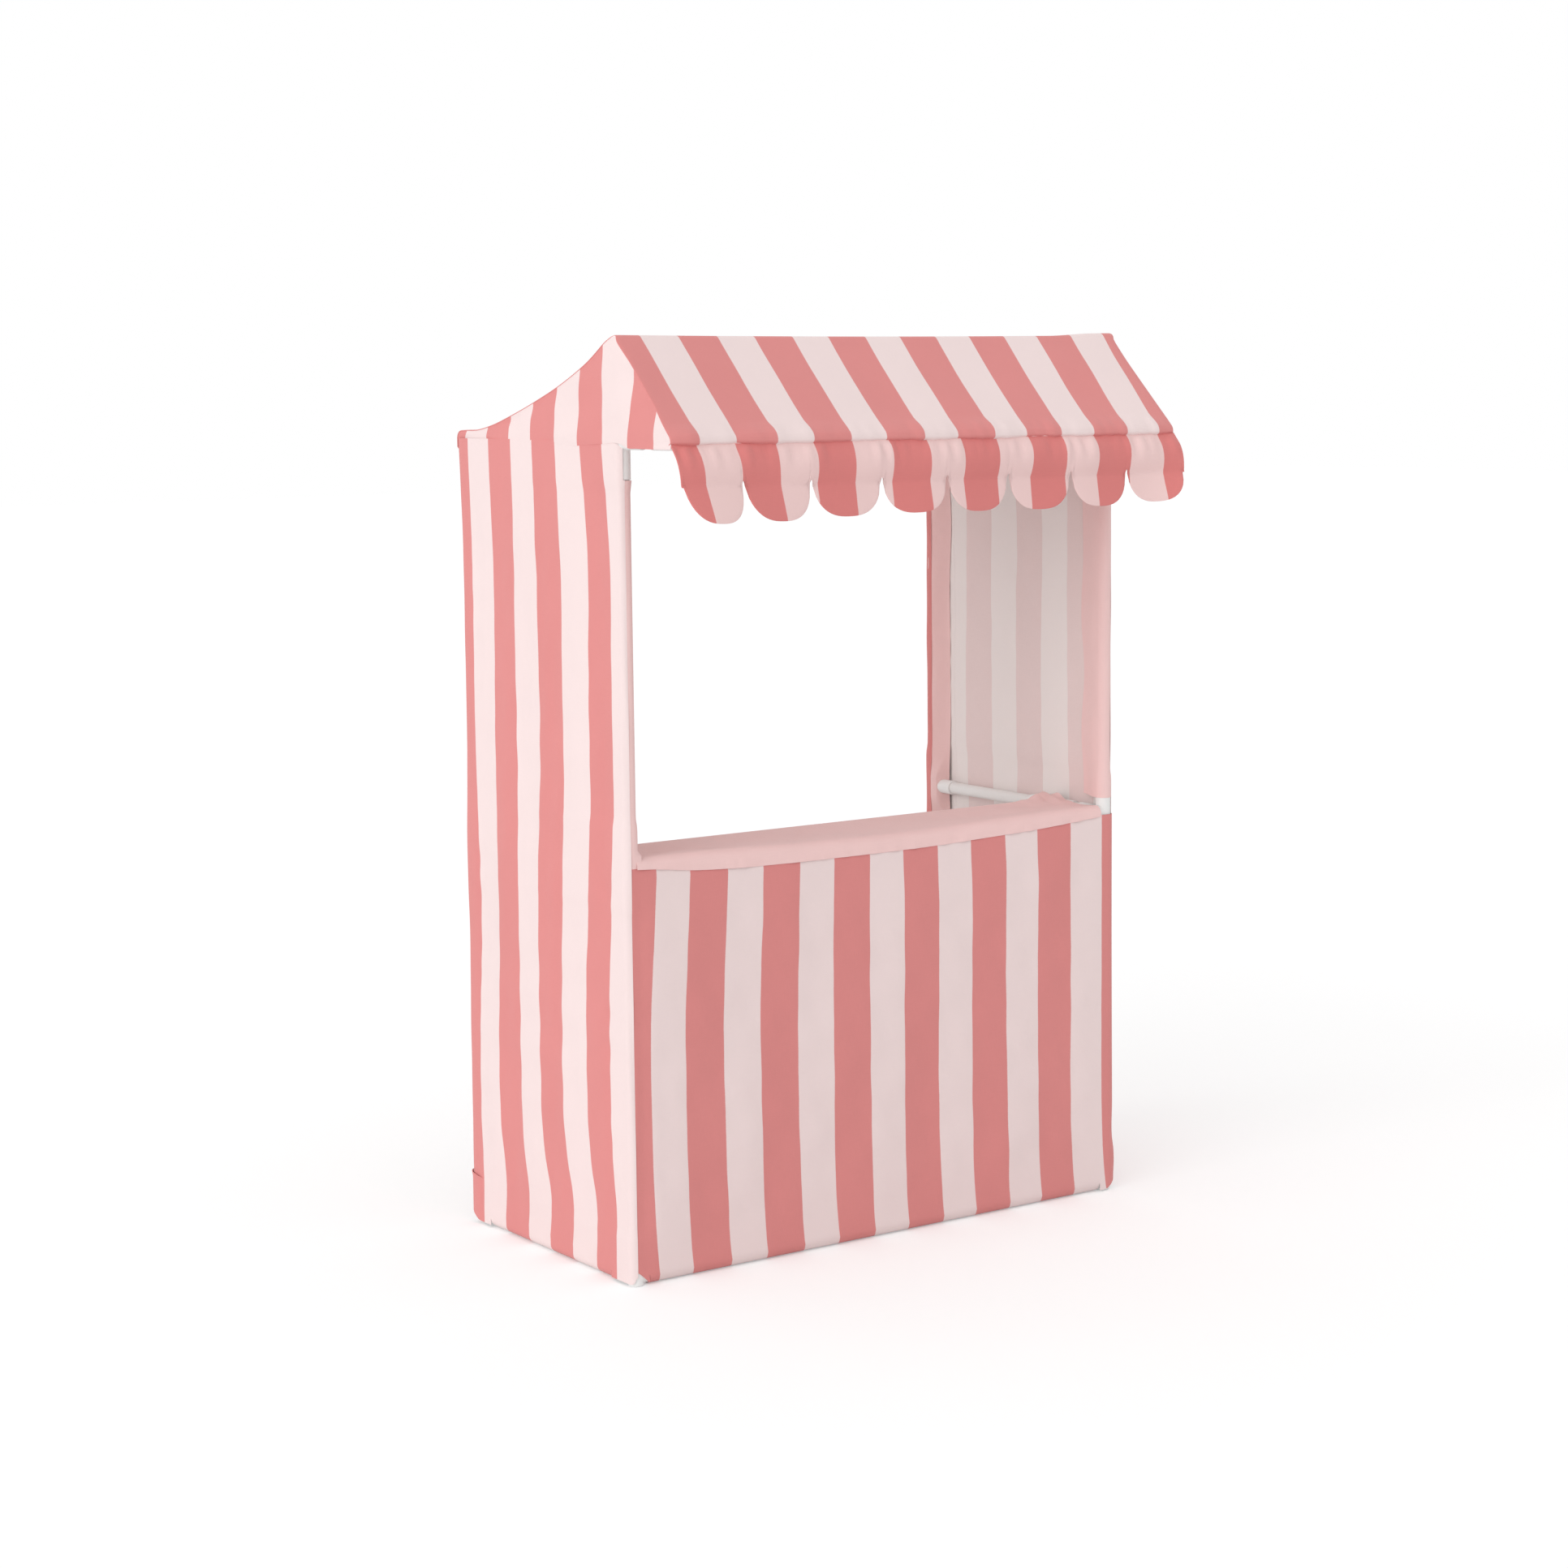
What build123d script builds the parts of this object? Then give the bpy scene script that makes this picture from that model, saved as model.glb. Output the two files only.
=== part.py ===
from build123d import *
import os
from math import acos, asin, atan2, cos, hypot, radians, sin, sqrt

# Children's play stall: a plug-together frame of plastic tube under a sewn cloth cover.
# Millimetres. X to the right as the customer sees it, Y to the back, Z up from the floor.

# Overall layout, measured between tube axes; the stub is the tube that shows between two counter sockets
POST_SPACING_X = 910.0
POST_SPACING_Y = 450.0
COUNTER_HEIGHT = 630.0
COUNTER_STUB = 15.0
COUNTER_SAG = 7.0
TOP_RAIL_HEIGHT = 1250.0
RIDGE_RISE = 138.0
EAVE_REACH = 140.0
BACK_SAG = 27.0

# Tube and moulded push-fit fittings
TUBE_OD = 20.0
TUBE_WALL = 1.5
SOCKET_CLEARANCE = 0.15
SOCKET_WALL = 1.85
ARM_LENGTH = 55.0
SOCKET_DEPTH = 38.0
MOUTH_ROUND = 0.8
ROOT_FILLET = 1.5
FOOT_CHAMFER = 1.0

# Sewn cloth
CLOTH = 1.0
CLOTH_CLEARANCE = 0.4
STITCH_CLEARANCE = 0.2
FLOOR_CLEARANCE = 0.6
SLEEVE_STITCH = 48.0
SIDE_HEM_STITCH = 50.0
FRONT_HEM_STITCH = 25.0
COUNTER_STITCH = 45.0
CHANNEL_STITCH = 45.0
FRONT_SEAM_DROP = 10.0
WALL_SEAM_DROP = 10.0
SLEEVE_GAP_BELOW = 18.0
SLEEVE_GAP_ABOVE = 25.0
SLEEVE_END_MARGIN = 3.0
COUNTER_END_MARGIN = 1.6
PANEL_END_OFFSET = 5.5

# Scalloped valance
VALANCE_CLOTH = 1.5
VALANCE_CLEARANCE = 0.3
VALANCE_TILT_DEGREES = 14.0
VALANCE_DROP = 118.0
VALANCE_RISE = 2.0
SCALLOP_COUNT = 8
SCALLOP_DEPTH = 42.0
NOTCH_HEIGHT = 10.0
NOTCH_HALF_WIDTH = 4.5

OVERRUN = 5.0

# Places between a counter socket and mid-span where the bow of the front bar is taken
BOW_SHARES = (1, 0.75, 0.5, 0.25, 0)

# Sizes that follow from the ones above
TUBE_R = TUBE_OD / 2
BORE_R = TUBE_R + SOCKET_CLEARANCE
ARM_R = BORE_R + SOCKET_WALL
STOP = ARM_LENGTH - SOCKET_DEPTH
COUNTER_DEPTH = 2 * ARM_LENGTH + COUNTER_STUB
CLOTH_IN = ARM_R + CLOTH_CLEARANCE
CLOTH_MID = CLOTH_IN + CLOTH / 2
CLOTH_OUT = CLOTH_IN + CLOTH
CHANNEL_MID = CLOTH_IN - CLOTH_CLEARANCE - CLOTH / 2
BASE_HEIGHT = CLOTH_OUT + FLOOR_CLEARANCE
RIDGE_HEIGHT = TOP_RAIL_HEIGHT + RIDGE_RISE
WALL_SEAM = TOP_RAIL_HEIGHT - WALL_SEAM_DROP
FRONT_SEAM = COUNTER_HEIGHT - FRONT_SEAM_DROP
POST_X = POST_SPACING_X / 2
HALF_WIDTH = POST_X + CLOTH_OUT
MOUTH_X = POST_X - ARM_LENGTH
VALANCE_TILT = radians(VALANCE_TILT_DEGREES)
FRONT_REACH = (
    EAVE_REACH
    + (CLOTH_OUT + VALANCE_CLEARANCE + VALANCE_CLOTH) * cos(VALANCE_TILT)
    + VALANCE_DROP * sin(VALANCE_TILT)
)
REAR_REACH = POST_SPACING_Y + CLOTH_OUT
FRONT_Y = (FRONT_REACH - REAR_REACH) / 2
REAR_Y = FRONT_Y + POST_SPACING_Y
EAVE_Y = FRONT_Y - EAVE_REACH
BAR_Y = FRONT_Y + COUNTER_DEPTH

UP = Vector(0, 0, 1)
DOWN = Vector(0, 0, -1)
INWARD = Vector(1, 0, 0)
OUTWARD = Vector(-1, 0, 0)
BACKWARD = Vector(0, 1, 0)
FORWARD = Vector(0, -1, 0)


def mirrored(shape):
    """The same piece on the other side of the stall."""
    return mirror(shape, Plane.YZ)


def save(name, *solids):
    """Write one named piece, or a set of like pieces that stand apart."""
    shapes = [solid for item in solids for solid in item.solids()]
    node = shapes[0] if len(shapes) == 1 else Compound(children=shapes)
    node.label = name
    export_step(node, f"parts/{name}.step")


# Frame: tubes

def tube(start, end):
    """Straight hollow tube that bottoms in the sockets of the fittings centred at start and end."""
    start = Vector(*start)
    end = Vector(*end)
    along = (end - start).normalized()
    length = (end - start).length - 2 * STOP
    place = Plane(origin=start + along * STOP, z_dir=along)
    ring = Circle(TUBE_R) - Circle(TUBE_R - TUBE_WALL)
    return extrude(place * ring, amount=length)


def bowed_line(half_length, y, z):
    """Line across the stall, level in the two sockets and bowed down between them."""
    mid = MOUTH_X / 2
    low = z - COUNTER_SAG
    halfway = z - COUNTER_SAG / 2
    return Wire([
        Line((-half_length, y, z), (-MOUTH_X, y, z)),
        TangentArc((-MOUTH_X, y, z), (-mid, y, halfway), tangent=(1, 0, 0)),
        ThreePointArc((-mid, y, halfway), (0, y, low), (mid, y, halfway)),
        TangentArc((MOUTH_X, y, z), (mid, y, halfway), tangent=(-1, 0, 0)),
        Line((MOUTH_X, y, z), (half_length, y, z)),
    ])


def bow(x):
    """How far the bowed line hangs below its sockets at a place across the stall."""
    mid = MOUTH_X / 2
    bend = (mid**2 + (COUNTER_SAG / 2) ** 2) / COUNTER_SAG
    if abs(x) >= MOUTH_X:
        return 0
    if abs(x) > mid:
        return bend - sqrt(bend**2 - (MOUTH_X - abs(x)) ** 2)
    return COUNTER_SAG - bend + sqrt(bend**2 - x**2)


def bowed_tube(y):
    """Front counter bar, which has taken a slight bow under the pull of the cloth."""
    path = bowed_line(POST_X - STOP, y, COUNTER_HEIGHT)
    start = Plane(origin=path @ 0, z_dir=(1, 0, 0))
    outer = sweep(start * Circle(TUBE_R), path=path)
    inner = sweep(start * Circle(TUBE_R - TUBE_WALL), path=path)
    return outer - inner


def build_posts():
    for depth, y in (("front", FRONT_Y), ("rear", REAR_Y)):
        base = (-POST_X, y, BASE_HEIGHT)
        counter = (-POST_X, y, COUNTER_HEIGHT)
        top = (-POST_X, y, TOP_RAIL_HEIGHT)
        lower = tube(base, counter)
        upper = tube(counter, top)
        save(f"left_{depth}_post_lower", lower)
        save(f"right_{depth}_post_lower", mirrored(lower))
        save(f"left_{depth}_post_upper", upper)
        save(f"right_{depth}_post_upper", mirrored(upper))
    riser = tube((-POST_X, FRONT_Y, TOP_RAIL_HEIGHT), (-POST_X, FRONT_Y, RIDGE_HEIGHT))
    save("ridge_risers", riser, mirrored(riser))


def build_side_rails():
    base = tube((-POST_X, FRONT_Y, BASE_HEIGHT), (-POST_X, REAR_Y, BASE_HEIGHT))
    counter = tube((-POST_X, BAR_Y, COUNTER_HEIGHT), (-POST_X, REAR_Y, COUNTER_HEIGHT))
    top = tube((-POST_X, FRONT_Y, TOP_RAIL_HEIGHT), (-POST_X, REAR_Y, TOP_RAIL_HEIGHT))
    stub = tube((-POST_X, FRONT_Y, COUNTER_HEIGHT), (-POST_X, BAR_Y, COUNTER_HEIGHT))
    arm = tube((-POST_X, EAVE_Y, TOP_RAIL_HEIGHT), (-POST_X, FRONT_Y, TOP_RAIL_HEIGHT))
    for level, rail in (("base", base), ("counter", counter), ("top", top)):
        save(f"left_{level}_rail", rail)
        save(f"right_{level}_rail", mirrored(rail))
    save("counter_rail_stubs", stub, mirrored(stub))
    save("eave_arms", arm, mirrored(arm))


def build_cross_bars():
    bars = {
        "front_base_rail": (FRONT_Y, BASE_HEIGHT),
        "eave_bar": (EAVE_Y, TOP_RAIL_HEIGHT),
        "ridge_bar": (FRONT_Y, RIDGE_HEIGHT),
        "rear_top_bar": (REAR_Y, TOP_RAIL_HEIGHT),
        "counter_back_bar": (BAR_Y, COUNTER_HEIGHT),
    }
    for name, (y, z) in bars.items():
        save(name, tube((-POST_X, y, z), (POST_X, y, z)))
    save("counter_front_bar", bowed_tube(FRONT_Y))


# Frame: fittings

def socket_seat(direction, directions):
    """Plane that a socket stands on. A flat tee or cross has its mould line on the outer side."""
    flat = len(directions) > 2 and not any(other.X for other in directions)
    return Plane(origin=(0, 0, 0), x_dir=OUTWARD if flat else None, z_dir=direction)


def fitting(directions, foot=False):
    """Moulded fitting round the origin: one socket for each direction, and a flat foot or a round heel."""
    if foot:
        body = extrude(Circle(ARM_R), amount=-BASE_HEIGHT)
        body = chamfer(body.faces().sort_by(Axis.Z)[0].edges(), FOOT_CHAMFER)
    elif any((first + second).length == 0 for first in directions for second in directions):
        body = Part()
    else:
        body = Sphere(ARM_R)
    for direction in directions:
        arm = extrude(Circle(ARM_R), amount=ARM_LENGTH)
        arm = fillet(arm.faces().sort_by(Axis.Z)[-1].edges(), MOUTH_ROUND)
        body += socket_seat(direction, directions) * arm
    roots = body.edges().filter_by(GeomType.ELLIPSE)
    if foot:
        roots = roots.filter_by_position(Axis.Z, 0, ARM_LENGTH, inclusive=(False, True))
    body = fillet(roots, ROOT_FILLET)
    for direction in directions:
        bore = Pos(0, 0, STOP) * extrude(Circle(BORE_R), amount=SOCKET_DEPTH + OVERRUN)
        body -= socket_seat(direction, directions) * bore
    return body


def build_fittings():
    kinds = {
        "front_base_corners": ((UP, INWARD, BACKWARD), FRONT_Y, BASE_HEIGHT, True),
        "rear_base_elbows": ((UP, FORWARD), REAR_Y, BASE_HEIGHT, True),
        "counter_front_crosses": ((UP, DOWN, INWARD, BACKWARD), FRONT_Y, COUNTER_HEIGHT, False),
        "counter_bar_tees": ((FORWARD, BACKWARD, INWARD), BAR_Y, COUNTER_HEIGHT, False),
        "counter_rear_tees": ((UP, DOWN, FORWARD), REAR_Y, COUNTER_HEIGHT, False),
        "front_top_crosses": ((UP, DOWN, FORWARD, BACKWARD), FRONT_Y, TOP_RAIL_HEIGHT, False),
        "rear_top_corners": ((DOWN, INWARD, FORWARD), REAR_Y, TOP_RAIL_HEIGHT, False),
        "eave_elbows": ((BACKWARD, INWARD), EAVE_Y, TOP_RAIL_HEIGHT, False),
        "ridge_elbows": ((DOWN, INWARD), FRONT_Y, RIDGE_HEIGHT, False),
    }
    for name, (directions, y, z, foot) in kinds.items():
        left = Pos(-POST_X, y, z) * fitting(directions, foot)
        save(name, left, mirrored(left))


# Cover: flat profiles of cloth folded round a bar at the origin

def on_circle(radius, angle):
    return (radius * cos(angle), radius * sin(angle))


def facing(stitch, radius, wall_start=radians(90)):
    """Path of cloth from a stitch line under a wall, then round the bar to where the wall starts."""
    seam = (stitch - CLOTH, CLOTH_MID - CLOTH - STITCH_CLEARANCE)
    tangent = atan2(seam[1], seam[0]) - acos(radius / hypot(*seam))
    middle = (tangent + wall_start - radians(360)) / 2
    return [
        Line(seam, on_circle(radius, tangent)),
        ThreePointArc(
            on_circle(radius, tangent), on_circle(radius, middle), on_circle(radius, wall_start)
        ),
    ]


def hook(stitch, wall_end):
    """Path of a hemmed wall: its facing, the fold round the bar, then the wall along +X."""
    return facing(stitch, CLOTH_MID) + [Line((0, CLOTH_MID), (wall_end, CLOTH_MID))]


def sheet(path, thickness=CLOTH):
    """Cloth of even thickness along a path."""
    return trace(path, thickness)


def build_side_panels():
    length = POST_SPACING_Y - 2 * SLEEVE_STITCH
    profile = sheet(hook(SIDE_HEM_STITCH, WALL_SEAM - BASE_HEIGHT))
    place = Plane(
        origin=(-POST_X, FRONT_Y + SLEEVE_STITCH, BASE_HEIGHT), x_dir=(0, 0, 1), z_dir=(0, -1, 0)
    )
    panel = extrude(place * profile, amount=-length)
    save("left_side_panel", panel)
    save("right_side_panel", mirrored(panel))


def sleeve(y, runs_back):
    """Sleeve sewn round a post, open on the inside where the rails leave the fittings."""
    profile = sheet(hook(SLEEVE_STITCH, SLEEVE_STITCH))
    bottom = FLOOR_CLEARANCE
    along = 1 if runs_back else -1
    place = Plane(origin=(-POST_X, y, bottom), x_dir=(0, along, 0), z_dir=(0, 0, along))
    body = extrude(place * profile, amount=along * (WALL_SEAM - bottom))
    lowest_end = BASE_HEIGHT + ARM_R + SLEEVE_END_MARGIN
    top_end = TOP_RAIL_HEIGHT - ARM_LENGTH
    above = SLEEVE_GAP_ABOVE if runs_back else SLEEVE_GAP_BELOW
    gaps = (
        (-OVERRUN, lowest_end),
        (COUNTER_HEIGHT - SLEEVE_GAP_BELOW, COUNTER_HEIGHT + above),
        (top_end, WALL_SEAM + OVERRUN),
    )
    for low, high in gaps:
        cut = Pos(STITCH_CLEARANCE - POST_X - CLOTH_IN, y, low) * Box(
            2 * CLOTH_OUT, 4 * SLEEVE_STITCH, high - low, align=(Align.MIN, Align.CENTER, Align.MIN)
        )
        body -= cut
    return body


def build_sleeves():
    front = sleeve(FRONT_Y, True)
    rear = sleeve(REAR_Y, False)
    save("left_post_sleeves", front, rear)
    save("right_post_sleeves", mirrored(front), mirrored(rear))


def build_front_panel():
    """Front cloth with its hem channel, cut at the top along the bowed counter seam."""
    half = POST_X - PANEL_END_OFFSET
    inner_half = POST_X - CLOTH_OUT - COUNTER_END_MARGIN
    profile = sheet(hook(FRONT_HEM_STITCH, COUNTER_HEIGHT - BASE_HEIGHT))
    place = Plane(origin=(-half, FRONT_Y, BASE_HEIGHT), x_dir=(0, 0, 1), z_dir=(1, 0, 0))
    panel = extrude(place * profile, amount=2 * half)
    for side in (-1, 1):
        corner = Pos(side * inner_half, FRONT_Y - CLOTH_IN, 0) * Box(
            2 * OVERRUN + CLOTH_OUT,
            2 * CLOTH_OUT + OVERRUN,
            COUNTER_HEIGHT,
            align=(Align.MIN if side > 0 else Align.MAX, Align.MIN, Align.MIN),
        )
        foot = Pos(side * inner_half, FRONT_Y, 0) * Box(
            2 * OVERRUN + CLOTH_OUT,
            2 * CLOTH_OUT + OVERRUN,
            BASE_HEIGHT,
            align=(Align.MIN if side > 0 else Align.MAX, Align.CENTER, Align.MIN),
        )
        panel -= corner + foot
    seam = bowed_line(POST_X, FRONT_Y, FRONT_SEAM - CLOTH_CLEARANCE)
    top = Polyline(seam @ 1, (POST_X, FRONT_Y, RIDGE_HEIGHT), (-POST_X, FRONT_Y, RIDGE_HEIGHT), seam @ 0)
    above = Face(Wire(seam.edges() + top.edges()))
    panel -= extrude(above, amount=2 * CLOTH_OUT, both=True)
    save("front_panel", panel)


def counter_profile(drop):
    """Counter cloth from its channel round the back bar, over the lower front bar, to the front seam."""
    lean = asin(drop / COUNTER_DEPTH)
    leave = radians(90) - lean
    top = on_circle(CLOTH_MID, leave)
    middle = on_circle(CLOTH_MID, leave / 2)
    front_top = (COUNTER_DEPTH + top[0], top[1] - drop)
    path = facing(COUNTER_STITCH, CLOTH_MID, leave) + [
        Line(top, front_top),
        ThreePointArc(
            front_top,
            (COUNTER_DEPTH + middle[0], middle[1] - drop),
            (COUNTER_DEPTH + CLOTH_MID, -drop),
        ),
        Line((COUNTER_DEPTH + CLOTH_MID, -drop), (COUNTER_DEPTH + CLOTH_MID, -drop - FRONT_SEAM_DROP)),
    ]
    return sheet(path)


def build_counter_cloth():
    """Plain cloth from the front seam over both counter bars, sewn in a channel round the back one."""
    half = POST_X - CLOTH_OUT - COUNTER_END_MARGIN
    inner = [MOUTH_X * share for share in BOW_SHARES]
    stations = [half] + inner + [-x for x in reversed(inner[:-1])] + [-half]
    sections = []
    for x in stations:
        place = Plane(origin=(x, BAR_Y, COUNTER_HEIGHT), x_dir=(0, -1, 0), z_dir=(-1, 0, 0))
        sections.append((place * counter_profile(bow(x))).face())
    save("counter_cloth", loft(sections))


# Cover: roof, gables and valance, drawn in the plane of the gable
# Local X runs back from the front post axis and local Y runs up from the top rails.

SLOPE = atan2(RIDGE_RISE, EAVE_REACH)
SLOPE_NORMAL = SLOPE + radians(90)
SEAM_NORMAL = radians(180) - VALANCE_TILT
# The back slope hangs in one arc that runs smoothly off the ridge and onto the cloth round the rear bar.
BACK_SPAN = hypot(POST_SPACING_Y, RIDGE_RISE)
BACK_REACH = (BACK_SPAN**2 / 4 + BACK_SAG**2) / (2 * BACK_SAG)
BACK_R = BACK_REACH - CLOTH_MID
BACK_LIFT_SHARE = (BACK_REACH - BACK_SAG) / BACK_SPAN
BACK_CENTRE = (
    POST_SPACING_Y / 2 + RIDGE_RISE * BACK_LIFT_SHARE,
    RIDGE_RISE / 2 + POST_SPACING_Y * BACK_LIFT_SHARE,
)
BACK_NORMAL = atan2(BACK_CENTRE[1] - RIDGE_RISE, BACK_CENTRE[0])
REAR_NORMAL = atan2(BACK_CENTRE[1], BACK_CENTRE[0] - POST_SPACING_Y)


def shifted(centre, radius, angle):
    offset = on_circle(radius, angle)
    return (centre[0] + offset[0], centre[1] + offset[1])


def arc(centre, radius, start, end):
    middle = (start + end) / 2
    return ThreePointArc(
        shifted(centre, radius, start), shifted(centre, radius, middle), shifted(centre, radius, end)
    )


def roof_line(radius, first_normal):
    """Roof cloth at a distance from the bars: eave, front slope, ridge, back slope, rear bar."""
    eave = (-EAVE_REACH, 0)
    ridge = (0, RIDGE_RISE)
    rear = (POST_SPACING_Y, 0)
    back_r = BACK_R + CLOTH_MID - radius
    return [
        arc(eave, radius, first_normal, SLOPE_NORMAL),
        Line(shifted(eave, radius, SLOPE_NORMAL), shifted(ridge, radius, SLOPE_NORMAL)),
        arc(ridge, radius, SLOPE_NORMAL, BACK_NORMAL),
        arc(BACK_CENTRE, back_r, BACK_NORMAL + radians(180), REAR_NORMAL + radians(180)),
        arc(rear, radius, REAR_NORMAL, 0),
        Line((POST_SPACING_Y + radius, 0), (POST_SPACING_Y + radius, -WALL_SEAM_DROP)),
    ]


def gable_plane(x):
    return Plane(origin=(x, FRONT_Y, TOP_RAIL_HEIGHT), x_dir=(0, 1, 0), z_dir=(1, 0, 0))


def build_roof():
    profile = sheet(roof_line(CLOTH_MID, SEAM_NORMAL))
    save("roof_cloth", extrude(gable_plane(-HALF_WIDTH) * profile, amount=2 * HALF_WIDTH))


def build_gables():
    radius = CLOTH_IN - CLOTH_CLEARANCE
    outline = roof_line(radius, radians(180))
    bottom = Polyline(
        (POST_SPACING_Y + radius, -WALL_SEAM_DROP),
        (-EAVE_REACH - radius, -WALL_SEAM_DROP),
        (-EAVE_REACH - radius, 0),
    )
    face = make_face(outline + bottom.edges())
    gable = extrude(gable_plane(-HALF_WIDTH) * face, amount=CLOTH)
    save("left_gable", gable)
    save("right_gable", mirrored(gable))


def build_channels():
    """Facings that close the roof cloth into channels round the eave and rear bars, between the sockets."""
    half = MOUTH_X - COUNTER_END_MARGIN
    profile = sheet(facing(CHANNEL_STITCH, CHANNEL_MID))
    eave = Plane(
        origin=(-half, EAVE_Y, TOP_RAIL_HEIGHT), x_dir=(0, cos(SLOPE), sin(SLOPE)), z_dir=(1, 0, 0)
    )
    rear = Plane(origin=(half, REAR_Y, TOP_RAIL_HEIGHT), x_dir=(0, -1, 0), z_dir=(-1, 0, 0))
    save(
        "roof_channels",
        extrude(eave * profile, amount=2 * half),
        extrude(rear * profile, amount=2 * half),
    )


def build_valance():
    """Scalloped strip that hangs from the eave seam and leans outwards."""
    pitch = 2 * HALF_WIDTH / SCALLOP_COUNT
    notch_level = SCALLOP_DEPTH - VALANCE_DROP
    half_scallop = pitch / 2 - NOTCH_HALF_WIDTH
    face = Pos(0, notch_level) * Rectangle(
        2 * HALF_WIDTH, VALANCE_RISE - notch_level, align=(Align.CENTER, Align.MIN)
    )
    for index in range(SCALLOP_COUNT):
        centre = pitch * (index + 1 / 2) - HALF_WIDTH
        face += Pos(centre, notch_level) * Ellipse(half_scallop, SCALLOP_DEPTH)
    for index in range(SCALLOP_COUNT + 1):
        edge = pitch * index - HALF_WIDTH
        face -= make_face(Polyline(
            (edge - NOTCH_HALF_WIDTH, notch_level),
            (edge, notch_level + NOTCH_HEIGHT),
            (edge + NOTCH_HALF_WIDTH, notch_level),
            close=True,
        ))
    distance = CLOTH_OUT + VALANCE_CLEARANCE
    origin = (
        0,
        EAVE_Y - distance * cos(VALANCE_TILT),
        TOP_RAIL_HEIGHT + distance * sin(VALANCE_TILT),
    )
    place = Plane(origin=origin, x_dir=(1, 0, 0), z_dir=(0, -cos(VALANCE_TILT), sin(VALANCE_TILT)))
    save("valance", extrude(place * face, amount=VALANCE_CLOTH))


os.makedirs("parts", exist_ok=True)
build_posts()
build_side_rails()
build_cross_bars()
build_fittings()
build_side_panels()
build_sleeves()
build_front_panel()
build_counter_cloth()
build_roof()
build_gables()
build_channels()
build_valance()
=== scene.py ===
from math import atan2, cos, hypot, pi, radians, sin

import bpy
import numpy as np
from mathutils import Matrix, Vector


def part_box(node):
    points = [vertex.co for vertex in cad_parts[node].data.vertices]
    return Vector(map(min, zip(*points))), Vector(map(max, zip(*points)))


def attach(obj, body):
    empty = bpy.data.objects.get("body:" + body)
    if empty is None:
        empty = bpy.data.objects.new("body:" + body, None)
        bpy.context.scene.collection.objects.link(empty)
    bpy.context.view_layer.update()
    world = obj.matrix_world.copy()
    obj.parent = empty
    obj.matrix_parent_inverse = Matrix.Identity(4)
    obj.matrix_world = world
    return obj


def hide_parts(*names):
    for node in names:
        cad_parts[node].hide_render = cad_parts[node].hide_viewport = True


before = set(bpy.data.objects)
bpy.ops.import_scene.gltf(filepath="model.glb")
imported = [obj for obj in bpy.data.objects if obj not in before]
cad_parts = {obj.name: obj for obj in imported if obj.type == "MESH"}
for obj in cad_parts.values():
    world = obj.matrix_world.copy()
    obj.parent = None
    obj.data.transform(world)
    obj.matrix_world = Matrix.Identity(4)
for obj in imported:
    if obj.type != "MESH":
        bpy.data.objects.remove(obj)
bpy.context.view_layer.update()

bl_info = {
    "name": "Striped play stall",
    "version": (1, 0, 0),
    "blender": (4, 5, 0),
    "location": "View3D > Sidebar > Stall",
    "description": "Sews the striped cover of a children's play stall over its tube frame",
    "category": "Object",
}


# Places read from the tube frame, in metres. Depth is measured back from the front posts.

def middle(node, axis):
    low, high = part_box(node)
    return (low[axis] + high[axis]) / 2


POST_X = -middle("left_front_post_lower", 0)
FRONT_Y = middle("left_front_post_lower", 1)
DEPTH = middle("left_rear_post_lower", 1) - FRONT_Y
BAR_DEPTH = middle("counter_back_bar", 1) - FRONT_Y
EAVE_DEPTH = middle("eave_bar", 1) - FRONT_Y
BASE_Z = middle("left_base_rail", 2)
COUNTER_Z = middle("left_counter_rail", 2)
TOP_Z = middle("left_top_rail", 2)
RIDGE_RISE = middle("ridge_bar", 2) - TOP_Z
TUBE_R = (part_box("ridge_bar")[1][2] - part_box("ridge_bar")[0][2]) / 2
BAR_SAG = COUNTER_Z - TUBE_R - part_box("counter_front_bar")[0][2]
SOCKET_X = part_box("roof_channels")[1][0]
HALF_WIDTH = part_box("roof_cloth")[1][0]
WALL_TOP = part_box("left_side_panel")[1][2]
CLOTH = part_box("left_gable")[1][0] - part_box("left_gable")[0][0]
ROUND = HALF_WIDTH - POST_X - CLOTH / 2
SOCKET = TOP_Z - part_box("front_top_crosses")[0][2]

MM = 0.001


# Sizes and colours that a user would change

def measure(name, description, default, low, high):
    return bpy.props.FloatProperty(
        name=name, description=description, default=default, min=low, max=high, unit="LENGTH")


class StallSizes(bpy.types.PropertyGroup):
    """Sizes of the cover"""
    stripe_pitch: measure("Stripe pitch", "One dark and one light stripe together", 0.1354, 0.02, 0.5)
    dark_share: bpy.props.FloatProperty(
        name="Dark share", description="Part of the pitch that is dark",
        default=0.513, min=0.1, max=0.9, subtype="FACTOR")
    thread_pitch: measure("Weave pitch", "Distance between the yarns of the weave", 0.0008, 0.0003, 0.005)
    cloth_thickness: measure("Cloth thickness", "Thickness of one layer of the cover", 0.0009, 0.0003, 0.003)
    wall_bulge: measure(
        "Wall bulge", "How far a side wall stands out between its posts", 0.0055, 0.0, 0.02)
    front_bulge: measure(
        "Front bulge", "How far the front cloth stands out below the counter", 0.004, 0.0, 0.02)
    counter_dip: measure(
        "Counter dip", "How far the counter cloth dips between its two bars", 0.005, 0.0, 0.02)
    gable_lean: measure(
        "Gable lean", "How far the gables fall in beside the ridge posts", 0.0035, 0.0, 0.03)
    valance_thickness: measure("Valance thickness", "Thickness of the lined valance", 0.0024, 0.001, 0.008)
    stitch_length: measure("Stitch length", "Length of one stitch with its gap", 0.0042, 0.002, 0.02)


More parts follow.
